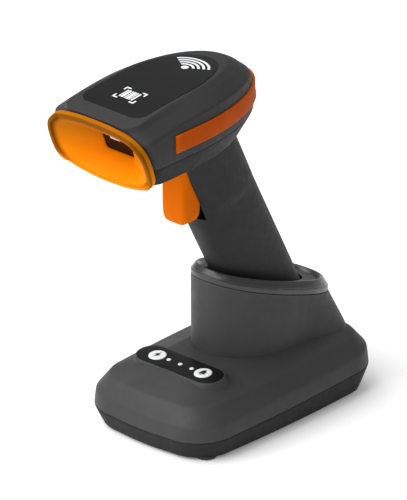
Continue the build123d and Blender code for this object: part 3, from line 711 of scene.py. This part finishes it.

# %% [markdown]
# ## Head tray
#
# The lower half closes the head. It is a shallow dish with sloping sides whose bottom is open
# where the trigger comes up into it. The grip runs up into it from below.

# %% head tray


def box_core(name, x, y0, y1, z0, z1):
    """A cutting block, symmetric in x."""
    ring = [(-x, y0), (x, y0), (x, y1), (-x, y1)]
    return skin(name, [[(a, b, z0) for a, b in ring], [(a, b, z1) for a, b in ring]], (True, True))


dish = [
    head_ring(167.6, 12.0, nose_at(167.6) + 9, -9, -44, 6),
    head_ring(167.6, 21.0, nose_at(167.6), 0, -44, 8),
    head_ring(171.8, 30.6, nose_at(171.8), 16, -54, 8),
    head_ring(183.65, 35.5, nose_at(184), 26.4, -52, 6),
]
rim = [
    head_ring(183.90, 35.3, nose_at(184) + 0.2, 26.2, -52, 6),
    head_ring(183.98, 35.0, nose_at(184) + 0.5, 25.9, -52, 6),
]
tray = walled(rounded(skin("tray", crisp(dish, 1.1) + rim, (True, False))))
cut(tray, mouth_core())
cut(tray, box_core("trigger_core", 9.9, -40, -8.0, 155.0, 176.0))
# painted shade: the tray takes a darker copy of the shell's grey
mount(tray, "scanner", "grey_shell", "head_tray", material="grey_under")

# %% [markdown]
# ## Mouth
#
# The orange mouth is one moulding: a sleeve that plugs into the head, a flange whose two sides
# stand proud as bumpers, a narrow inner lip, and a funnel that narrows to the scan window. It is
# one closed skin that starts on the sleeve, comes forward round the flange, dives down the
# funnel and returns behind it. The bumpers are the same loops, pushed ahead only at the sides.

# %% nose bezel


def soft_step(value, start, width=0.9):
    """From 0 to 1, softly, over a width."""
    t = max(0.0, min(1.0, (value - start) / width))
    return t * t * (3 - 2 * t)


def bumper(base, extra):
    """Ahead of the nose by base, and by extra more along the sides."""
    def ahead(u, v):
        z = NOSE_MIDDLE + v * cos(NOSE_TILT)
        return base + extra * soft_step(abs(u), 26.0) * soft_step(z, 172.0) * (1 - soft_step(z, 205.6))
    return ahead


def funnel(share):
    """From the lip's D to the window, drawn in quickly at first, like a bell."""
    wide, narrow = d_ring(4.4, 2.6), window_ring(10.4, 5.9, -10.6)
    ring = blend_rows(wide, narrow, share)
    depth = share ** 1.25 - share
    push = Vector(nose_point(0, 0, -13.2)) - Vector(nose_point(0, 0, 0))
    return [tuple(Vector(p) + push * depth) for p in ring]


flange = [
    d_ring(2.9, -3.0), d_ring(2.9, 0.1), d_ring(2.7, 0.25), d_ring(0.0, 0.25), d_ring(-0.2, 0.5),
    d_ring(-0.2, bumper(2.2, 0.0)), d_ring(-0.2, bumper(3.0, 1.4)), d_ring(0.05, bumper(3.45, 1.5)),
    d_ring(0.5, bumper(3.6, 1.5)), d_ring(1.7, bumper(3.6, 1.5)), d_ring(2.0, bumper(3.45, 1.5)),
    d_ring(2.15, bumper(3.0, 0.6)), d_ring(2.3, 2.9), d_ring(2.5, 2.9), d_ring(2.65, 3.3), d_ring(2.9, 3.5),
    d_ring(3.6, 3.4), d_ring(4.0, 3.1),
]
bell = [funnel(share) for share in (0.0, 0.08, 0.2, 0.35, 0.5, 0.65, 0.8, 0.92, 1.0)]
behind = [window_ring(10.4, 5.9, -11.0), window_ring(10.4, 5.9, -12.4), window_ring(12.0, 7.4, -12.4),
          window_ring(12.6, 8.0, -12.0)]
outer_funnel = [blend_rows(window_ring(12.6, 8.0, -12.0), d_ring(2.9, -3.0), share) for share in (0.4, 0.8, 1.0)]
mouth = rounded(skin("mouth", flange + bell + behind + outer_funnel))
mount(mouth, "scanner", "orange", "nose_bezel", angle=30)

# %% painted shade on the flange
outwards = (Vector(nose_point(0, 0, 1)) - Vector(nose_point(0, 0, 0))).normalized()
plane_at = Vector(nose_point(0, 0, 0)).dot(outwards) * MM
in_front = ahead_of(mouth_tree, outwards, plane_at + 0.0026, plane_at + 0.0034)
over_sill = ahead_of(mouth_tree, (0, 0, 1), 0.1690, 0.1760)
flange_shade_mask = mouth_tree.nodes.new("ShaderNodeMath")
flange_shade_mask.operation = "MULTIPLY"
mouth_tree.links.new(in_front, flange_shade_mask.inputs[0])
mouth_tree.links.new(over_sill, flange_shade_mask.inputs[1])
# painted shade: the flange's front face is made darker above the sill
paint_shade(finish["orange"], flange_shade_mask.outputs["Value"], (0.42, 0.50, 0.5))
print("flange tone from", round(plane_at / MM, 1))

# %% [markdown]
# The window is a dark red-black pane at the end of the funnel. Behind its upper edge sits a small pale
# block, which shows as a lighter patch.

# %% pale block behind the window
patch = [(-5.6, 2.6), (1.8, 2.6), (1.3, 4.4), (-5.0, 4.4)]
patch_rows = [[nose_point(u, v + WINDOW_LIFT, ahead) for u, v in patch] for ahead in (-11.55, -11.30)]
pale_block = applied(skin("aiming_cap", patch_rows, (True, True)), "BEVEL", width=0.0001, segments=2)
mount(pale_block, "scanner", "tin_can", angle=30)

# %% [markdown]
# ## Black plate and its prints
#
# A glossy black plate is let into the crown. Its outline is offset from the same crown, a hair
# above it, with a tiny rounded edge. The white marks are prints: one tells that this tool reads
# bar codes, the other that it talks without a cable. Each is a thin closed outline, extruded by
# the thickness of the ink.

# %% plate
low = plate_outline(0.0, lambda y: crown_at(y) - 1.0)
high = plate_outline(0.0, lambda y: crown_at(y, 213.46))
PLATE_TOP = 213.57
rise = [low, high, plate_outline(0.10, lambda y: crown_at(y, 213.54)), plate_outline(0.35, lambda y: crown_at(y, PLATE_TOP))]
over = [towards_spine(rise[-1], share, PLATE_TOP) for share in (0.1, 0.3, 0.5, 0.7, 0.85, 1.0)]
under = [towards_spine(low, share, 212.4) for share in (1.0, 0.5)]
plate = rounded(skin("top_plate", under + rise + over))
mount(plate, "scanner", "black_gloss", "top_panel", angle=40)

# %% prints on the plate
ink, tree, main = shader("white_ink")
tone = tint(tree, cloud(tree, 700, 3), (0.74, 0.75, 0.76), (0.84, 0.85, 0.86))
tree.links.new(tone, main.inputs["Base Color"])
tree.links.new(between(tree, cloud(tree, 400), 0.35, 0.5), main.inputs["Roughness"])
finish["white_ink"] = ink


def on_crown(points):
    """A print's outline as two rows, just above the plate."""
    return [[(x, y, crown_at(y, PLATE_TOP + h)) for x, y in points] for h in (-0.05, 0.06)]


def arc_band(cx, cy, inner, outer, start, end, count=18):
    """A closed outline between two arcs."""
    angles = [radians(start + (end - start) * i / count) for i in range(count + 1)]
    ring = [(cx + outer * cos(a), cy + outer * sin(a)) for a in angles]
    return ring + [(cx + inner * cos(a), cy + inner * sin(a)) for a in reversed(angles)]


def oblong(cx, cy, half, high):
    """A plain rectangle."""
    return [(cx - half, cy - high), (cx + half, cy - high), (cx + half, cy + high), (cx - half, cy + high)]


def joined(name, parts):
    """Several small pieces made one."""
    bpy.ops.object.select_all(action="DESELECT")
    for part in parts:
        part.select_set(True)
    bpy.context.view_layer.objects.active = parts[0]
    bpy.ops.object.join()
    parts[0].name = name
    return parts[0]


marks = [circle(0, -19.6, 2.1, 28)] + [arc_band(0, -20.6, r - 0.72, r + 0.72, 33, 147) for r in (5.2, 8.0, 10.8, 13.6)]
radio = joined("radio_mark", [skin("ink", on_crown(m), (True, True)) for m in marks])
mount(radio, "scanner", "light_guide", material="white_ink", angle=20)

BARS = [(-4.4, 0.45), (-2.7, 0.8), (-0.8, 0.4), (0.9, 0.85), (2.6, 0.4), (4.3, 0.6)]
bars = [oblong(x, -63.0, half, 4.0) for x, half in BARS]
for sx in (-1, 1):
    for sy in (-1, 1):
        x, y = 7.6 * sx, -63.0 + 6.2 * sy
        corner = [(x, y), (x - 3.4 * sx, y), (x - 3.4 * sx, y - 0.95 * sy), (x - 0.95 * sx, y - 0.95 * sy),
                  (x - 0.95 * sx, y - 3.2 * sy), (x, y - 3.2 * sy)]
        bars.append(corner)
reader = joined("reader_mark", [skin("ink", on_crown(m), (True, True)) for m in bars])
mount(reader, "scanner", "light_guide", material="white_ink", angle=20)

# %% [markdown]
# ## Side stripe
#
# An orange stripe runs round the sides and the rear of the head. It is a flat strip, let in so
# that it stands a millimetre proud, with softly broken edges that catch the light. Its section is
# a small rectangle that is carried round the head's own plan, so the loops run along the strip
# and each loop is one line of the section.

# %% stripe
STRIPE_FRONT, STRIPE_TURN, STRIPE_MIDDLE, SIDE_HALF = -65.5, -50.0, 194.5, 35.8


def stripe_line(out, z):
    """One line of the stripe's section, from one front end round the rear to the other."""
    half, rear, turn = SIDE_HALF + out, (26.6 if z < STRIPE_MIDDLE else 25.6) + out, STRIPE_TURN
    side = [(half, STRIPE_FRONT + (turn - STRIPE_FRONT) * i / 5, z) for i in range(5)]
    back_part = [(half * cos(pi * i / 60), turn + (rear - turn) * sin(pi * i / 60), z) for i in range(61)]
    return side + back_part + [(-x, y, z) for x, y, z in reversed(side)]


SECTION = [(-0.6, 189.5), (0.55, 189.4), (0.92, 189.55), (1.05, 189.95), (1.05, 194.5), (1.05, 199.0),
           (0.92, 199.45), (0.55, 199.6), (-0.6, 199.5)]
lines = [stripe_line(out, z) for out, z in SECTION]
loops = [[line[k] for line in lines] for k in range(len(lines[0]))]


def end_rows(loop):
    """Two small loops that round the stripe's end."""
    sign = 1 if sum(p[0] for p in loop) > 0 else -1
    rows = []
    for step, shrink in ((0.0, 0.55), (0.12, 0.25)):
        rows.append([(x - sign * shrink * max(0.0, abs(x) - SIDE_HALF), y + step - 0.25,
                      STRIPE_MIDDLE + (z - STRIPE_MIDDLE) * (1 - 0.05 * shrink)) for x, y, z in loop])
    return rows


stripe = skin("side_stripe", end_rows(loops[0]) + loops + end_rows(loops[-1])[::-1], (True, True))
mount(stripe, "scanner", "orange_band", "bumper_band", angle=50)

# %% [markdown]
# ## Grip
#
# The grip is a flattened tube that leans back. Behind the trigger it swells so that the fingers
# have a ledge, and the ledge ends in a soft fold. Its outlines lie across the leaning axis below
# and turn level near the fold. The tube gets its wall, is hollowed where the trigger swings in,
# and is split down the middle into the two halves in which it is moulded.

# %% grip outlines
LEAN = radians(27.6)
GRIP_Y, GRIP_Z, GRIP_HALF, GRIP_DEEP = 24.0, 96.0, 16.6, 22.2   # a point on the axis, half width, half depth


def power(value, share):
    """A power that keeps the sign."""
    return (abs(value) ** share) * (1 if value > 0 else -1)


def grip_ring(s, half, front, rear, level=0.52, swell=0.0, n=2.3, count=96):
    """Section of the grip at s along its axis; swell widens its front part only."""
    y0, z0 = GRIP_Y - s * sin(LEAN), GRIP_Z + s * cos(LEAN)
    ring = []
    for i in range(count):
        a = 2 * pi * (i + 0.5) / count
        depth = (rear if sin(a) > 0 else front) * power(sin(a), 2 / n)
        x = (half + swell * (1 - soft_step(depth, -6.0, 20.0))) * power(cos(a), 2 / n)
        y, z = depth * cos(LEAN), depth * sin(LEAN)
        slide = (level * y - z) / (cos(LEAN) + level * sin(LEAN))
        ring.append((x, y0 + y - slide * sin(LEAN), z0 + z + slide * cos(LEAN)))
    return ring


grip_rows = [
    grip_ring(-57.2, 16.0, 21.1, 21.3), grip_ring(-56.6, 16.2, 21.4, 21.6), grip_ring(-30, 16.5, 21.9, 22.0),
    grip_ring(0, 16.6, 22.1, 22.2), grip_ring(24, 16.6, 22.2, 22.4, 0.36), grip_ring(36, 16.6, 22.1, 22.5, 0.24),
    grip_ring(39.6, 16.55, 21.9, 22.6, 0.21, 0.0), grip_ring(41.2, 16.6, 21.7, 22.6, 0.20, 0.45),
    grip_ring(43.4, 16.65, 21.5, 22.7, 0.19, 1.35), grip_ring(46.6, 16.7, 20.6, 22.8, 0.16, 1.75),
    grip_ring(54, 16.8, 20.6, 23.0, 0.05, 1.4), grip_ring(66, 16.9, 20.8, 23.4, 0.0, 1.0),
    grip_ring(92, 17.2, 14.0, 24.2, 0.0, 0.3),
]
shell = walled(rounded(skin("grip", grip_rows)))
cut(shell, box_core("trigger_core", 9.0, -45, -11.0, 123.2, 185.0))
print("grip", len(shell.data.polygons))

# %% split the grip


SPLIT = 0.00006   # half the gap between the two halves, in metres


def half_of(piece, side):
    """Keeps one side of the mirror plane and closes the cut."""
    only(piece)
    bpy.ops.object.mode_set(mode="EDIT")
    bpy.ops.mesh.select_all(action="SELECT")
    bpy.ops.mesh.bisect(plane_co=(side * SPLIT, 0, 0), plane_no=(side, 0, 0), use_fill=True, clear_inner=True)
    bpy.ops.object.mode_set(mode="OBJECT")


only(shell)
bpy.ops.object.duplicate()
twin = bpy.context.object
for piece, side, name, node in ((shell, 1, "grip_half_r", "grip_right"), (twin, -1, "grip_half_l", "grip_left")):
    half_of(piece, side)
    piece.name = name
    # painted shade: the grip halves take a darker copy of the shell's grey
    mount(piece, "scanner", "grey_shell", node, material="grey_grip")

# %% [markdown]
# ## Trigger
#
# The trigger is a long orange pad with a gently bowed front and a full, round lower end. Pads like
# this are drawn by their outline from the front and by their profile from the side. So the rows
# climb the pad, narrow at its foot, and each row is a rounded rectangle whose front is crowned.
# A bored arm above it hangs the pad on its pin.

# %% trigger


def pad_row(z, half, front, rear, corner):
    """A rounded rectangle with a crowned front."""
    ring = []
    quarters = ((half, rear, 0, 0.8), (-half, rear, 90, 0.8), (-half, front, 180, corner), (half, front, 270, corner))
    for cx, cy, start, r in quarters:
        r = min(r, half * 0.9, (rear - front) * 0.45)
        sx, sy = (1 if cx > 0 else -1), (1 if cy == rear else -1)
        for i in range(8):
            a = radians(start + 90 * i / 7)
            ring.append((cx - sx * r + r * cos(a), cy - sy * r + r * sin(a), z))
    return [(x, y - (0.55 * (1 - (x / half) ** 2) if y < (front + rear) / 2 else 0), z) for x, y, z in ring]


PAD = [
    (123.9, 3.6, -26.4, -19.4, 1.2), (124.0, 5.0, -27.4, -18.6, 1.5), (124.5, 6.3, -28.2, -18.0, 1.8),
    (125.6, 7.4, -28.8, -17.6, 2.0), (127.8, 8.3, -29.1, -17.0, 2.1), (131, 8.6, -29.3, -16.8, 2.1),
    (140, 8.6, -29.5, -16.1, 2.1), (148, 8.6, -29.5, -15.6, 2.1), (158, 8.6, -29.1, -14.9, 2.1),
    (166, 8.6, -28.5, -14.4, 2.1), (168.0, 8.5, -28.3, -14.2, 2.1),
]
ARM = [
    (168.2, 6.0, -20.6, -12.6, 0.6), (168.6, 6.0, -20.4, -12.4, 0.6), (174.2, 6.0, -20.2, -12.2, 1.8),
    (176.2, 5.9, -19.0, -13.2, 1.8), (176.9, 5.6, -17.6, -14.6, 1.0),
]
PIN_Y, PIN_Z, BORE = -16.0, 173.0, 1.56
trigger = rounded(skin("trigger_pad", [pad_row(*row) for row in PAD + ARM], (True, True)))
cut(trigger, skin("bore", [[(x, y, z) for y, z in circle(PIN_Y, PIN_Z, BORE, 24)] for x in (-8, 8)], (True, True)))
mount(trigger, "trigger", "orange_trigger", "trigger_lever", angle=50)

# %% [markdown]
# ## Cradle base
#
# The base is a low, soft mound: a side band that widens to its waist, a band above it, a long
# shoulder, and a nearly flat crown. The lines between them are gentle, so the extra loops sit
# two millimetres from each outline. Below the waist the pan tapers in to its feet, and a fine
# groove shows where the two mouldings meet.

# %% base outlines
BASE_HALF, BASE_FRONT, BASE_REAR = 47.3, -58.0, 94.2
BASE_MIDDLE = 18   # the distance that the plans shrink towards


def pad(d_side, d_front, d_rear, z_front, z_rear, corner, bow=2.4, inset=0.0):
    """Plan of the base at one level: bowed sides and round corners, tilted a little to the rear."""
    half, front, rear = BASE_HALF - d_side - inset, BASE_FRONT + d_front + inset, BASE_REAR - d_rear - inset
    corner = max(corner - inset, 4)
    mid, k = (front + rear) / 2, (z_rear - z_front) / (BASE_REAR - BASE_FRONT)
    side, end = half - bow * 0.5, bow * 0.6
    cut_x, cut_y = corner * 0.30, corner * 0.33
    plan = bend((-half + corner, front + end), (0, front), (half - corner, front + end), 12)
    plan += bend((half - corner, front + end), (half - cut_x, front + cut_y), (side, front + corner), 14)
    plan += bend((side, front + corner), (half, mid), (side, rear - corner), 16)
    plan += bend((side, rear - corner), (half - cut_x, rear - cut_y), (half - corner, rear - end), 14)
    plan += bend((half - corner, rear - end), (0, rear), (-half + corner, rear - end), 12)
    plan += bend((-half + corner, rear - end), (-half + cut_x, rear - cut_y), (-side, rear - corner), 14)
    plan += bend((-side, rear - corner), (-half, mid), (-side, front + corner), 16)
    plan += bend((-side, front + corner), (-half + cut_x, front + cut_y), (-half + corner, front + end), 14)
    return [(x, y, z_front + k * (y - BASE_FRONT)) for x, y in plan]


def lifted(ring, by):
    """The same plan, higher."""
    return [(x, y, z + by) for x, y, z in ring]


def drawn_in(ring, share, by=0.0):
    """A plan shrunk to a share of its size, and lifted."""
    return [(x * share, BASE_MIDDLE + (y - BASE_MIDDLE) * share, z + by) for x, y, z in ring]


def waist_line(inset=0.0):
    """The widest plan, where shell and pan meet."""
    return pad(0, 0, 0, 12.2, 15.4, 26, inset=inset)


waist = waist_line()
band = pad(1.2, 1.2, 1.6, 20.0, 24.6, 24)
shoulder = pad(7.8, 7.4, 6.5, 29.8, 31.8, 21)
crown = pad(27, 26, 22, 37.2, 38.6, 14, 1.5)
middle = drawn_in(crown, 0.5, 0.35)
groove = [lifted(waist_line(0.55), 0.02), lifted(waist_line(0.16), 0.05)]
dome = crisp([lifted(waist, 0.3), band, shoulder, crown, middle], 1.5) + [drawn_in(middle, 0.1, 0.1)]
base = rounded(skin("base_shell", groove + dome, (False, True)))
walled(base)
print("base", len(base.data.polygons))

# %% grip and plate seats in the base


def tube_ring(s, inset):
    """The grip's plain section."""
    return grip_ring(s, GRIP_HALF - inset, GRIP_DEEP - inset, GRIP_DEEP - inset)


PILL_TILT, PILL_Y, PILL_Z = radians(5.0), -23.4, 38.0
PILL_LONG, PILL_HALF = 28.8, 8.4


def plate_point(x, y, z):
    """A point of the small control plate's own tilted plane."""
    return (x, PILL_Y + y * cos(PILL_TILT) - z * sin(PILL_TILT), PILL_Z + y * sin(PILL_TILT) + z * cos(PILL_TILT))


def pill_ring(length, half, z):
    """A slot's outline on the control plate's plane."""
    reach = length - half
    ring = [(reach + half * cos(a), half * sin(a)) for a in (radians(-90 + 180 * i / 24) for i in range(25))]
    ring += [(-reach + half * cos(a), half * sin(a)) for a in (radians(90 + 180 * i / 24) for i in range(25))]
    return [plate_point(x, y, z) for x, y in ring]


BED = [
    (33.2, 12.8, -7.6), (32.2, 11.8, -6.4), (30.6, 10.2, -2.2), (30.0, 9.55, -0.55), (29.65, 9.2, -0.1),
    (29.3, 8.9, 0.02), (29.1, 8.7, 0.0), (28.98, 8.58, -0.15), (28.98, 8.58, -1.4), (28.98, 8.58, -7.6),
    (33.2, 12.8, -7.6),
]
bed = skin("control_bed", [pill_ring(*row) for row in BED])
mount(bed, "cradle", "grey_cradle", angle=45)
cut(base, skin("well_core", [tube_ring(-65.6, -2.6), tube_ring(40, -2.6)], (True, True)))
cut(base, skin("plate_core", [pill_ring(PILL_LONG + 0.15, PILL_HALF + 0.15, z) for z in (-1.4, 7)], (True, True)))
cut(base, skin("switch_core", [pill_ring(26.3, 5.9, -9), pill_ring(26.3, 5.9, -1.0)], (True, True)))
mount(base, "cradle", "grey_cradle", "cradle_shell", angle=40)

# %% pan
sole = pad(4.6, 5.2, 5.4, 1.2, 1.2, 23)
pan_rows = [
    drawn_in(sole, 0.2), drawn_in(sole, 0.7), sole,
    lifted(pad(3.9, 4.5, 4.7, 1.2, 1.2, 24), 0.25), lifted(pad(3.5, 4.1, 4.3, 1.2, 1.2, 24), 1.0),
    lifted(waist, -0.9), lifted(waist, -0.3), lifted(waist_line(0.16), -0.05), lifted(waist_line(0.55), -0.02),
]
pan = walled(rounded(skin("base_pan", pan_rows, (True, False))))


def drum(name, x, y, radius, z0, z1, count=40):
    """An upright round core."""
    return skin(name, [[(a, b, z) for a, b in circle(x, y, radius, count)] for z in (z0, z1)], (True, True))


for x, y in ((-34, -40), (34, -40), (-34, 74), (34, 74)):
    cut(pan, drum("foot_core", x, y, 6.15, 0.2, 2.1))
for x, y in ((-30, -28), (30, -28), (-30, 58), (30, 58)):
    cut(pan, drum("screw_core", x, y, 2.75, 0.2, 2.92, 24))
    cut(pan, drum("thread_core", x, y, 1.25, 0.2, 9.0, 16))
inlet = [(4.7, 7.55), (4.7, 11.25), (-4.7, 11.25), (-4.7, 7.55)]
cut(pan, skin("inlet_core", [[(x, y, z) for x, z in inlet] for y in (84.0, 98.0)], (True, True)))
# painted shade: the pan takes a darker grey than the cradle's
mount(pan, "cradle", "grey_cradle", "cradle_pan", angle=40, material="grey_under")

# %% [markdown]
# ## Collar
#
# The collar is a round tower whose mouth is cut by a sloping plane. Its rear runs down as a
# buttress that spreads to the width of the base, so its outline flares more the lower it lies.
# Where it meets the base a small fillet catches a thin line of light.

# %% collar outlines
COLLAR_HALF, COLLAR_FRONT, COLLAR_REAR = 27.0, -3.6, 84.5
RIM_FRONT, RIM_FALL = 81.0, 0.345
BUTTRESS = 52.0   # the rear part starts to flare here


def collar_ring(half, front, rear, z_at, flare=0.0, n=2.35, count=112):
    """Plan of the collar; its rear part may flare out to the sides."""
    mid, reach = (front + rear) / 2, (rear - front) / 2
    ring = []
    for i in range(count):
        a = 2 * pi * (i + 0.5) / count
        x = half * power(cos(a), 2 / n)
        y = mid + reach * power(sin(a), 2 / n)
        late = max(0.0, (y - BUTTRESS) / (rear - BUTTRESS))
        x += (1 if x > 0 else -1) * flare * late * (abs(x) / half) ** 0.35
        ring.append((x, y, z_at(y)))
    return ring


def rim_at(lift):
    """Height of the sloping rim plane."""
    return lambda y: RIM_FRONT + lift - RIM_FALL * (y - COLLAR_FRONT)


def crown_height(y):
    """Height of the base's crown under the collar."""
    return 37.2 + (y - BASE_FRONT) * 1.4 / (BASE_REAR - BASE_FRONT)


buried = collar_ring(COLLAR_HALF, COLLAR_FRONT, COLLAR_REAR + 6.0, lambda y: 20.0, 18.0)
knee = collar_ring(COLLAR_HALF, COLLAR_FRONT, COLLAR_REAR + 4.0, lambda y: 31.0, 17.0)
mouth_row = collar_ring(COLLAR_HALF, COLLAR_FRONT, COLLAR_REAR, rim_at(-0.25))
fillet_row = []
for p, q in zip(knee, mouth_row):
    share = max(0.0, min(1.0, (crown_height(p[1]) + 0.7 - p[2]) / (q[2] - p[2])))
    fillet_row.append(tuple(a + (b - a) * share for a, b in zip(p, q)))
tower = [blend_rows(fillet_row, mouth_row, share) for share in (0.05, 0.5, 0.97)]
collar = skin("collar_tower", [buried, knee, fillet_row] + tower + [mouth_row])
walled(rounded(collar))
mount(collar, "cradle", "grey_cradle", "collar", angle=45)

# %% [markdown]
# ## Rim
#
# The lip of the collar has two bands: an upright one that continues the tower and a sloping one
# that leads the grip in. It is one closed ring of plastic, carried round the same sloping plane.

# %% rim


def lip_row(inward, lift):
    """A line of the rim's section, carried round the collar."""
    return collar_ring(COLLAR_HALF - inward, COLLAR_FRONT + inward * 0.96, COLLAR_REAR - inward * 1.04, rim_at(lift))


LIP = [
    (6.0, -3.0), (2.4, -3.0), (2.3, 0.0), (0.35, 0.02), (0.06, 0.18), (0.0, 0.6), (0.02, 2.9), (0.2, 3.35),
    (0.55, 3.5), (0.62, 3.65), (0.62, 3.95), (0.8, 4.3), (2.3, 6.7), (2.75, 7.2), (3.2, 7.4), (3.8, 7.35),
    (4.3, 7.0), (5.7, 4.9), (6.0, 4.2), (6.0, 1.0), (6.0, -3.0),
]
lip_piece = rounded(skin("collar_lip", [lip_row(*row) for row in LIP]))
mount(lip_piece, "cradle", "grey_rim", "collar_rim", angle=60)

# %% [markdown]
# ## Control plate, keys and lights
#
# A black lozenge on the base carries two round white keys and three small lights between them.
# The keys are separate caps that sink a little when pressed, so they are their own pieces, each
# with a generic symbol: a bolt for charging and a bell for finding the scanner.

# %% control plate
KEY_X, LIGHT_X = 16.7, 8.4
PILL = [(PILL_LONG, PILL_HALF, -1.3), (PILL_LONG, PILL_HALF, 0.05), (28.72, 8.32, 0.18), (28.5, 8.1, 0.25), (22.0, 1.6, 0.25)]
lozenge = skin("control_lozenge", [pill_ring(*row) for row in PILL], (True, True))


def turned(x, profile, count):
    """Outlines of a round piece that stands on the plate's plane."""
    return [[plate_point(a, b, z) for a, b in circle(x, 0, r, count)] for r, z in profile]


HOLES = [(-KEY_X, 5.3), (KEY_X, 5.3), (-LIGHT_X, 1.45), (0, 1.45), (LIGHT_X, 1.45)]
for x, radius in HOLES:
    cut(lozenge, skin("hole", turned(x, [(radius, -3), (radius, 3)], 40), (True, True)))
mount(lozenge, "cradle", "black_gloss", "control_plate", angle=40)

# %% keys and their symbols


# A stem, a flange below the plate and a softly crowned cap.
KEY = [(2.2, -3.2), (2.2, -1.4), (4.6, -1.35), (5.0, -1.1), (5.0, 0.2), (4.9, 0.42), (4.6, 0.56), (4.0, 0.61), (2.0, 0.60)]


def printed(name, shapes, x):
    """A symbol's outlines as thin prints on a key."""
    rows = [[[plate_point(x + a, b, z) for a, b in shape] for z in (0.58, 0.68)] for shape in shapes]
    return joined(name, [skin("ink", pair, (True, True)) for pair in rows])


bolt = [[(0.7, 3.2), (-2.0, -0.5), (-0.3, -0.5), (-0.8, -3.2), (2.0, 0.6), (0.3, 0.6)]]
dome = [(-2.4, -1.5), (2.4, -1.5), (1.7, -0.6), (1.55, 1.0), (0.95, 2.0), (0.35, 2.4), (0.3, 3.0), (-0.3, 3.0),
        (-0.35, 2.4), (-0.95, 2.0), (-1.55, 1.0), (-1.7, -0.6)]
bell = [dome, arc_band(0, -1.9, 0.05, 0.8, 180, 360, 10)]
for side, body, symbol in ((-1, "key_left", bolt), (1, "key_right", bell)):
    key = skin(f"{body}_cap", turned(KEY_X * side, KEY, 48), (True, True))
    mount(key, body, "key_white", body, angle=50)
    mark = printed(f"{body}_symbol", symbol, KEY_X * side)
    mount(mark, body, "black_matt", angle=20)

# %% lights
LIGHT = [(1.3, -3.1), (1.3, 0.15), (1.15, 0.36), (0.75, 0.45), (0.3, 0.47)]
dots = [skin("light", turned(x, LIGHT, 28), (True, True)) for x in (-LIGHT_X, 0, LIGHT_X)]
lights = joined("status_dots", dots)
mount(lights, "cradle", "light_guide", "indicator_lights", material="key_white", angle=50)

# %% [markdown]
# ## Feet
#
# Four rubber feet let the cradle grip the table. Each is a low dome with a chamfer and a shallow
# ring groove in its sole. One profile serves for all four, and the four feet are joined into one mesh.

# %% feet


FOOT = [(1.2, 0.18), (2.6, 0.18), (2.9, 0.0), (5.2, 0.0), (5.75, 0.25), (6.0, 0.7), (6.0, 2.0)]


def foot_rows(x, y):
    """A foot's outlines at its place."""
    return [[(a, b, z) for a, b in circle(x, y, r, 40)] for r, z in FOOT]


feet = joined("rubber_foot_set", [skin("foot", foot_rows(x, y), (True, True)) for x in (-34, 34) for y in (-40, 74)])
mount(feet, "cradle", "rubber", "rubber_feet", angle=50)

# %% dress every frame node
for name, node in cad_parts.items():
    for slot in node.material_slots:
        key = slot.material.name.split(".")[0] if slot.material else ""
        if key in finish:
            slot.material = finish[key]
        else:
            print("slot without a finish", name, key)
print("dressed", len(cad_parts))
